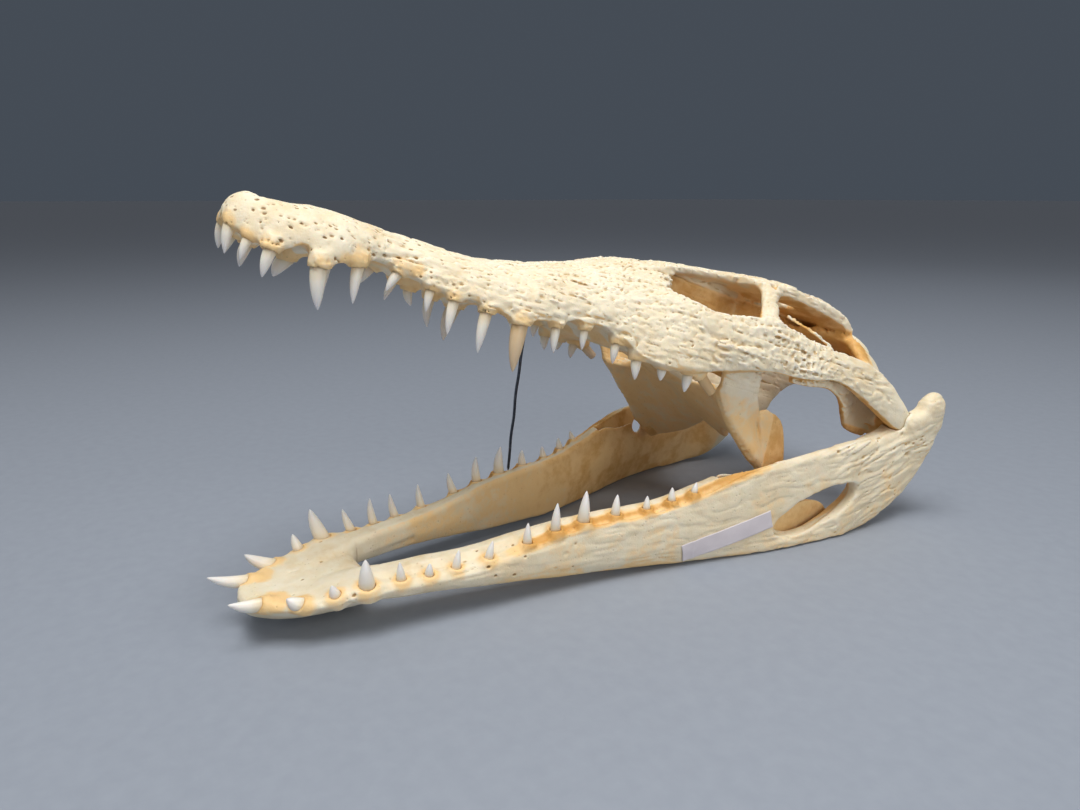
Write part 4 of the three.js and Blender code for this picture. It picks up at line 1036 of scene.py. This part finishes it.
def tooth_line(back):
    """x of the tooth row at some places back; past the last tooth it goes on outwards."""
    return np.interp(back, LOWER_TEETH[:, 0], LOWER_TEETH[:, 1]) + np.clip(back - LOWER_TEETH[-1, 0], 0, 60) * 0.2


groove_back = np.array([g[0] for g in GROOVE])
row_top = through(PLATE[:, 0], PLATE[:, 4:5], groove_back)[:, 0]
jaw.limb([((x + GROOVE_ASIDE, back, top + 0.3), (wide, 0, 0), (0, 0, deep))
          for (back, wide, deep), x, top in zip(GROOVE, tooth_line(groove_back), row_top)],
         power=2, soft=1.6, cut=True)
lower_bases = LOWER_TEETH[:, [1, 0, 2]]
lower_tips = {1: LOWER_TEETH[:, 4:7], -1: LOWER_TEETH[:, 7:10]}
lower_ways = lower_tips[1] - lower_bases
lower_ways[0], lower_ways[1] = (0, -2.4, 0.7), (0.1, -1.2, 1)
lower_ways /= np.linalg.norm(lower_ways, axis=1)[:, None]
set_sockets(jaw, lower_bases, lower_ways, LOWER_TEETH[:, 3])


JOINT_GAP = 0.45


def hollow_joint():
    """The socket for the quadrate: everything of the jaw within the joint's gap of the cranium, whose depth is blended
    from its own grid."""
    part, x, y, z = jaw.window((36, 284, 36), (78, 340, 72))
    x, back, rise = np.broadcast_arrays(x, y - JOINT_BACK, z - JOINT_HEIGHT)
    c, s = math.cos(GAPE), math.sin(GAPE)
    own = np.stack([x, -back * c + rise * s, back * s + rise * c], -1).reshape(-1, 3)
    beyond = at_points(skull.depth, skull, own).astype(np.float32).reshape(x.shape) - JOINT_GAP
    jaw.put(part, beyond, 0.4, cut=True)


hollow_joint()
jaw.mirrored()
# On the left the window opens through and wider inside, with a thin plate standing in it; on the right a slanting
# hole lies above it.
cut_window(30.0, 90.0, 252, 18, 24, 7.4, 30)
cut_window(30.0, 61.4, 257, 19.6, 26, 9.4, 30)
jaw.limb(bars("yz", [(50.6, 247, 4, 24, 14.4), (54.4, 251, 4, 22, 14.4)]),
         power=2.2, soft=1.5)
PLATE_FOOT = 0.7
part, x, y, z = jaw.window((40, 216, -1.5), (66, 290, 4))
jaw.depth[part] = np.maximum(jaw.depth[part], PLATE_FOOT - z)
jaw.limb(bars("yz", [(-40, 223.4, 38.9, 3, 4.4), (-75, 252.8, 25.6, 3, 4.4)]),
         power=2, soft=1, cut=True, spacing=40)
jaw.egg((-52, 217.9, 31), (4, 1.2, 1), soft=0.6, cut=True)
jaw.egg((71.4, 311.6, 36.3), (2.6, 2.4, 1.5), soft=1, cut=True)


def weather_jaw():
    """The finish of the jaw's surface: faint streaks along the outer face, small vessel holes below the tooth row,
    long folds and scattered pits behind the window, and smooth inner faces."""
    flat = jaw.depth.reshape(-1)
    band = np.flatnonzero(np.abs(flat) < BAND)
    x, y, z = jaw.points(band)
    nx, ny, nz = jaw.facing(band)
    outward = smooth(nx * np.sign(x), 0.1, 0.6)
    relief = 0.35 * (cloud(x, y, z, 11) - 0.5) + 0.16 * (cloud(x, y, z, 4, 2) - 0.5)
    streaks = outward * smooth(y, 30, 80)
    relief += streaks * 0.3 * (smooth(wrinkles(x, y, z, 30, 2.6, 4), 0, 0.4) - 0.8)
    rear = outward * smooth(y + 0.5 * z, 262, 300) * (1 - smooth(y, 306, 314) * smooth(z, 46, 54))
    rear = np.maximum(rear, 0.7 * outward * smooth(y, 214, 240) * below(z, 4, 10))
    pick = rear > 0.02
    turned = [x[pick], y[pick] * 0.96 + z[pick] * 0.26, z[pick] * 0.96 - y[pick] * 0.26]
    relief[pick] += rear[pick] * (0.6 * smooth(wrinkles(*turned, 19, 2.4, 6), 0, 0.45) - 0.4)
    sparse = smooth(cloud(x[pick], y[pick], z[pick], 9), 0.42, 0.6)
    relief[pick] -= rear[pick] * 1.2 * sparse * pits(*turned, 2.8, 1.05, 0.7)
    front = smooth(nx * np.sign(x) + 0.2 * nz, 0.1, 0.5) * below(y, 110, 150)
    deck = smooth(nz, 0.6, 0.9) * below(y, 40, 52)
    pick = np.maximum(front, deck) > 0.02
    relief[pick] -= np.maximum(front, deck * 0.6)[pick] * 1.1 * pits(x[pick], y[pick], z[pick], *JAW_PITS)
    flat[band] -= relief


weather_jaw()
# How crowded the bone is about each point: the measure for painted shade in hollows and painted highlight on ridges.
hollow_fine, hollow_wide = crowding(jaw.depth, 1), crowding(jaw.depth, 7)


def shade_jaw(p):
    """Attributes of the jaw's bones, as the cranium's: staining round the sockets, deepest in the rear tooth groove,
    orange on the inner plate that shows in the window, and a light tint on the outer face that lessens towards the
    top; and painted shade as ochre-brown in wide recesses, on the inner faces (more towards the rear), on faces
    that look down and along the foot near the floor."""
    x, y, z = np.abs(p[:, 0]), p[:, 1], p[:, 2]
    fine, wide = at_points(hollow_fine, jaw, p), at_points(hollow_wide, jaw, p)
    reach = np.min([((x - t[1]) ** 2 + (y - t[0]) ** 2 + (z - t[2]) ** 2) / (t[3] + 2.4) ** 2 for t in LOWER_TEETH], 0)
    row = np.interp(y, PLATE[:, 0], PLATE[:, 4])
    off_groove = np.abs(x - tooth_line(y) - GROOVE_ASIDE)
    groove = below(off_groove, 1.8, 4) * smooth(z, row - 5, row - 1) * between(y, 84, 112, 208, 232)
    pane = below(np.hypot((y - 250) / 30, (z - 16) / 13), 0.8, 1.05)
    face = np.interp(y, PLATE[:, 0], PLATE[:, 1])
    nx, ny, nz = facing_at(jaw, p)
    patchy = smooth(cloud(*p.T, 9), 0.3, 0.65)
    inner = smooth(-nx * np.sign(p[:, 0]), 0.1, 0.6) * between(y, 40, 80, 292, 312)
    side = smooth(nx * np.sign(p[:, 0]), 0.2, 0.6) * smooth(y, 50, 90)
    keel = smooth(-nz, -0.1, 0.7) * smooth(nx * np.sign(p[:, 0]), -0.1, 0.3) * smooth(y, 60, 110)
    # Ochre in the attribute of staining and shade: real staining round the sockets, in the groove, on the window's
    # plate and on the chin; painted shade in recesses, on inner and downward faces and near the floor.
    stain = np.maximum.reduce([
        np.exp(-reach * 1.25), groove,
        0.62 * pane * smooth(face - x, 5, 8),
        # painted shade in wide recesses
        0.75 * smooth(wide, 0.57, 0.75),
        # painted shade along the foot near the floor
        0.35 * below(z, 1, 6) * smooth(y, 150, 200),
        # painted shade on the inner faces, deeper towards the rear
        inner * (0.3 + 0.1 * patchy + (0.24 + 0.14 * patchy) * smooth(y, 110, 200)),
        # a light tint on the outer face, less towards the top
        side * (0.15 + 0.12 * patchy) * (1 - 0.6 * smooth(z, 26, 44)),
        # painted shade on the faces that look down
        0.5 * keel * patchy,
        0.55 * below(np.hypot((x - 12) / 9, (y - 7) / 7), 0.5, 1.1) * smooth(z, 12, 16)])
    front = smooth(nx * np.sign(p[:, 0]) + 0.2 * nz, 0.1, 0.5) * below(y, 110, 150)
    pit = np.maximum(front, 0.6 * smooth(nz, 0.6, 0.9) * below(y, 40, 52)) * pits(*p.T, *JAW_PITS)
    return {"hollow": fine, "shelter": wide, "stain": np.clip(stain, 0, 1), "pit": pit}


def angle_suture(sign):
    return lambda x, y, z: sign * (y - 196 - 0.9 * (z - 18) + wave_line(x, 0, z, 6, 3))


for side, label in SIDES:
    low_x, high_x = (-4, 78) if side > 0 else (-78, 4)
    for name, sign, low_y, high_y in (("jaw_front_", 1, -12, 228), ("jaw_rear_", -1, 170, 340)):
        settle(cut_bone(jaw, name + label, (low_x, low_y, -1.5), (high_x, high_y, 72),
                        [angle_suture(sign), middle_suture(-side)], shade_jaw, to_row_from_jaw),
               BONE, "bone", "mandible_" + label)
del hollow_fine, hollow_wide

# ---------------------------------------------------------------- teeth
# Conical crowns of enamel, fluted, curved and slightly flattened, each set by its root into its socket.
# Whiter and glossier than the bone, tan at the neck, a little translucent towards the tip.
FLUTES, RINGS_UP, ROOT = 28, 20, 0.32


def tube_faces(levels, sides):
    """The faces of a closed tube whose points are its rings, one after another, then the foot's and the head's middle:
    two to each square between rings, and a fan at each end."""
    one = np.arange(sides)
    next_ = (one + 1) % sides
    a, b = ((np.arange(levels - 1)[:, None] * sides + column).ravel() for column in (one, next_))
    last = (levels - 1) * sides
    foot, head = np.full(sides, levels * sides), np.full(sides, levels * sides + 1)
    return np.concatenate([
        np.stack([a, b, b + sides], 1), np.stack([a, b + sides, a + sides], 1),
        np.stack([foot, next_, one], 1), np.stack([last + one, last + next_, head], 1)])


def crowns(bases, tips, radii, bends, blunt=None):
    """Every crown of one jaw side as a single array: the middle line runs from the base to the tip with a bow that
    grows as t(1-t) and the radius falls as (1 - t^2)^0.74, with a fine keel along the front and rear edges."""
    t = np.concatenate([np.linspace(-ROOT, 0, 4)[:-1], 1 - (1 - np.linspace(0, 1, RINGS_UP)[:-1]) ** 1.25])
    turn = np.linspace(0, 2 * math.pi, FLUTES, endpoint=False)
    axis = tips - bases
    length = np.linalg.norm(axis, axis=1)
    way = axis / length[:, None]
    outward = np.array((1.0, 0, 0)) - way * way[:, :1]
    outward /= np.linalg.norm(outward, axis=1)[:, None]
    edgeways = np.cross(way, outward)
    up = np.maximum(t, 0)
    swell = 0.93 * (1 - up ** 2) ** 0.74
    swell = np.where(t < 0, 0.93 + 0.10 * t, swell)
    swell = np.tile(swell, (len(bases), 1))
    if blunt is not None:
        swell[blunt] = 0.93 - 0.16 * up
    keel = 1 + 0.07 * np.maximum(0, np.abs(np.sin(turn))) ** 24
    flute = 1 + 0.012 * np.sin(turn * 9)
    ring = swell[..., None] * keel * flute
    middle = (bases[:, None] + axis[:, None] * t[:, None] + bends[:, None] * (4 * up * (1 - up))[:, None])
    rings = (middle[:, :, None]
             + (radii[:, None, None] * ring * np.cos(turn) * 0.93)[..., None] * outward[:, None, None]
             + (radii[:, None, None] * ring * np.sin(turn) * 1.04)[..., None] * edgeways[:, None, None])
    count, levels = rings.shape[:2]
    feet = bases - axis * ROOT
    points = np.concatenate([rings.reshape(count, -1, 3), feet[:, None], tips[:, None]], 1)
    each = levels * FLUTES + 2
    faces = (tube_faces(levels, FLUTES)[None] + (np.arange(count) * each)[:, None, None]).reshape(-1, 3)
    height = np.concatenate([np.repeat(t, FLUTES), [-ROOT, 1]])
    return points.reshape(-1, 3), faces, np.tile(height, count)


def enamel_material():
    """Enamel: warm white, tan at the neck and faintly grey towards the tip, with lengthwise streaks."""
    material, add, place = nodes_of("enamel")
    mixed = add("ShaderNodeMath", {"operation": "MULTIPLY_ADD"}, _0=noise(add, place, 300.0, 4.0), _1=0.3,
                _2=number_of(add, "crown")).outputs["Value"]
    colour = ramp(add, mixed, [(0.10, (0.62, 0.42, 0.20)), (0.26, (0.80, 0.69, 0.50)), (0.5, (0.86, 0.81, 0.71)),
                               (0.85, (0.84, 0.81, 0.77)), (1.0, (0.78, 0.76, 0.75))])
    colour = blend(add, number_of(add, "aged"), colour, (0.66, 0.46, 0.24))
    streak_place = add("ShaderNodeMapping", Vector=place)
    streak_place.inputs["Scale"].default_value = (1, 1, 0.12)
    streak = noise(add, streak_place.outputs["Vector"], 1600.0, 3.0)
    bump = add("ShaderNodeBump", Strength=0.25, Distance=0.0003, Height=streak).outputs["Normal"]
    coat(add, Base_Color=colour, Normal=bump, Roughness=0.33, Subsurface_Weight=0.25,
         Subsurface_Radius=(1.0, 0.7, 0.5), Subsurface_Scale=0.0025)
    return material


ENAMEL = enamel_material()
TAN_TOOTH, BROKEN_TOOTH = 9, 16
upper_lengths = UPPER_TEETH[:, 3]
for side, label in SIDES:
    flip = np.array((side, 1, 1))
    vary = rng.normal(0, 1, (len(UPPER_TEETH), 3)) * (0.02 if side > 0 else 0.05)
    tips = upper_bases + (upper_ways + vary) * (upper_lengths * (1 if side > 0 else 0.88))[:, None]
    if side < 0:
        tips[[3, 6, 7, 8]] = (20, 298.4, -11.1), (17.6, 253.5, -8.5), (21.6, 239.5, -8), (25.4, 227.8, -15)
    bends = np.array((0.03, 0.035, 0)) * upper_lengths[:, None]
    points, faces, height = crowns(upper_bases * flip, tips * flip, UPPER_TEETH[:, 4], bends * flip,
                                   blunt=[BROKEN_TOOTH])
    aged = np.zeros(len(UPPER_TEETH))
    aged[[TAN_TOOTH, BROKEN_TOOTH]] = (0.8, 1) if side > 0 else (0.2, 0.6)
    aged = np.repeat(aged, len(height) // len(aged))
    settle(lay_mesh("upper_teeth_" + label, points, faces, {"crown": height, "aged": aged}, to_row_from_skull),
           ENAMEL, "bone")
    tips = lower_tips[side]
    lengths = np.linalg.norm(tips - lower_bases, axis=1)
    bends = np.array((0.03, -0.03, 0)) * lengths[:, None]
    bends[0], bends[1] = (0, 0, -0.07 * lengths[0]), (0.02 * lengths[1], -0.05 * lengths[1], -0.05 * lengths[1])
    points, faces, height = crowns(lower_bases * flip, tips * flip, LOWER_TEETH[:, 3], bends * flip)
    settle(lay_mesh("lower_teeth_" + label, points, faces, {"crown": height}, to_row_from_jaw), ENAMEL, "bone")

# ---------------------------------------------------------------- prop wire
# A straight length of thin blued steel wire that holds the mouth open, its foot on the right jaw half's tooth row
# and its head against the palate. Drawn wire: slightly bent by hand, its blue-black faintly mottled.
WIRE_RADIUS, WIRE_RINGS, WIRE_SIDES = 0.7, 60, 14


def prop_wire():
    """A tube of one radius along a line from foot to head that bows forwards as a half wave and wanders by a fifth of
    a millimetre; its first and last rings are drawn in, so that the ends are rounded off."""
    foot, head = np.array((-37.3, 137.5, 29.7)), np.array((-8.1, 131.9, 116.8))
    t = np.linspace(0, 1, WIRE_RINGS)[:, None]
    line = foot + (head - foot) * t
    line = line + np.array((0, 1, 0)) * (-0.8 * np.sin(math.pi * t) + 0.22 * np.sin(t * 23) * np.sin(math.pi * t))
    line = line + np.array((1, 0, 0)) * 0.2 * np.sin(t * 17 + 1) * np.sin(math.pi * t)
    way = np.gradient(line, axis=0)
    way /= np.linalg.norm(way, axis=1)[:, None]
    aside = np.cross(way, (0, 1, 0))
    aside /= np.linalg.norm(aside, axis=1)[:, None]
    other = np.cross(way, aside)
    turn = np.linspace(0, 2 * math.pi, WIRE_SIDES, endpoint=False)[:, None]
    radius = np.full(WIRE_RINGS, WIRE_RADIUS)
    radius[[0, -1]] *= 0.6
    rings = line[:, None] + radius[:, None, None] * (np.cos(turn) * aside[:, None] + np.sin(turn) * other[:, None])
    points = np.concatenate([rings.reshape(-1, 3), line[:1], line[-1:]])
    return points, tube_faces(WIRE_RINGS, WIRE_SIDES)


points, faces = prop_wire()
blued, add, place = nodes_of("blued_steel")
wire_tint = ramp(add, noise(add, place, 420.0, 4.0), [(0.3, (0.045, 0.055, 0.075)), (0.7, (0.10, 0.12, 0.16))])
coat(add, Base_Color=wire_tint, Metallic=0.85, Roughness=0.42)
settle(lay_mesh("steel_prop_wire", points, faces, {}, to_row_from_jaw), blued, "steel_wire", "prop_wire")

# ---------------------------------------------------------------- paper label
# A blank strip of white paper tape stuck along the left jaw plate ahead of the window. It follows the bone,
# bridges its small pits, and has a soft fold near its front end.
LABEL_COLUMNS, LABEL_ROWS, PAPER = 72, 18, 0.22
LABEL_FRONT, LABEL_LENGTH, LABEL_FOOT, LABEL_RISE, LABEL_WIDTH = 178, 45.6, 2.8, 10.6, 8.8


def label_sheet():
    """A grid of (along, up): each point lies on the outermost bone at that place, found down the columns of the jaw's
    grid, averaged over its neighbours and lifted off by a little; a second layer inside gives the paper its edge."""
    u = np.linspace(0, 1, LABEL_COLUMNS)[:, None]
    v = np.linspace(0, 1, LABEL_ROWS)[None, :]
    back = LABEL_FRONT + LABEL_LENGTH * u + 2.6 * (0.5 - v)
    height = LABEL_FOOT + LABEL_RISE * u + LABEL_WIDTH * v
    part, x, y, z = jaw.window((30, 168, -1), (78, 236, 30))
    depth = jaw.depth[part]
    last = depth.shape[0] - 1 - np.argmax(depth[::-1] < 0, axis=0)
    inner = np.take_along_axis(depth, last[None], 0)[0]
    outer = np.take_along_axis(depth, np.minimum(last + 1, depth.shape[0] - 1)[None], 0)[0]
    face = x.ravel()[0] + jaw.step * (last + inner / np.minimum(inner - outer, -1e-6))
    at_y, at_z = (back - y.ravel()[0]) / jaw.step, (height - z.ravel()[0]) / jaw.step
    i, j = at_y.astype(int), at_z.astype(int)
    p, q = at_y - i, at_z - j
    lift = ((face[i, j] * (1 - p) + face[i + 1, j] * p) * (1 - q)
            + (face[i, j + 1] * (1 - p) + face[i + 1, j + 1] * p) * q)
    for _ in range(14):
        wide = np.pad(lift, 1, mode="edge")
        lift = np.maximum(lift - 0.02, (wide[2:, 1:-1] + wide[:-2, 1:-1] + wide[1:-1, 2:] + wide[1:-1, :-2]) / 4)
    lift = lift + 0.12 + 0.28 * np.exp(-((u - 0.1 - 0.05 * v) / 0.022) ** 2)
    return back, height, lift


back, height, lift = label_sheet()
outside = np.stack([lift + PAPER, back, height], -1)
inside = np.stack([lift, back, height], -1)
points = np.concatenate([outside.reshape(-1, 3), inside.reshape(-1, 3)])
number = np.arange(LABEL_COLUMNS * LABEL_ROWS).reshape(LABEL_COLUMNS, LABEL_ROWS)
sheet = np.stack([number[:-1, :-1], number[1:, :-1], number[1:, 1:], number[:-1, 1:]], -1).reshape(-1, 4)
rim = np.concatenate([number[:-1, 0], number[-1, :-1], number[:0:-1, -1], number[0, :0:-1]])
far = np.roll(rim, -1)
under = number.size
edge = np.stack([rim, rim + under, far + under, far], 1)
faces = np.concatenate([sheet, sheet[:, ::-1] + under, edge])
paper, add, place = nodes_of("paper_tape")
paper_tint = ramp(add, noise(add, place, 110.0, 4.0), [(0.3, (0.70, 0.64, 0.67)), (0.7, (0.77, 0.71, 0.74))])
paper_fibre = noise(add, place, 2600.0, 4.0)
paper_bump = add("ShaderNodeBump", Strength=0.2, Distance=0.0002, Height=paper_fibre).outputs["Normal"]
coat(add, Base_Color=paper_tint, Roughness=0.75, Normal=paper_bump)
settle(lay_mesh("paper_label", points, faces, {}, to_row_from_jaw), paper, "paper", "label")
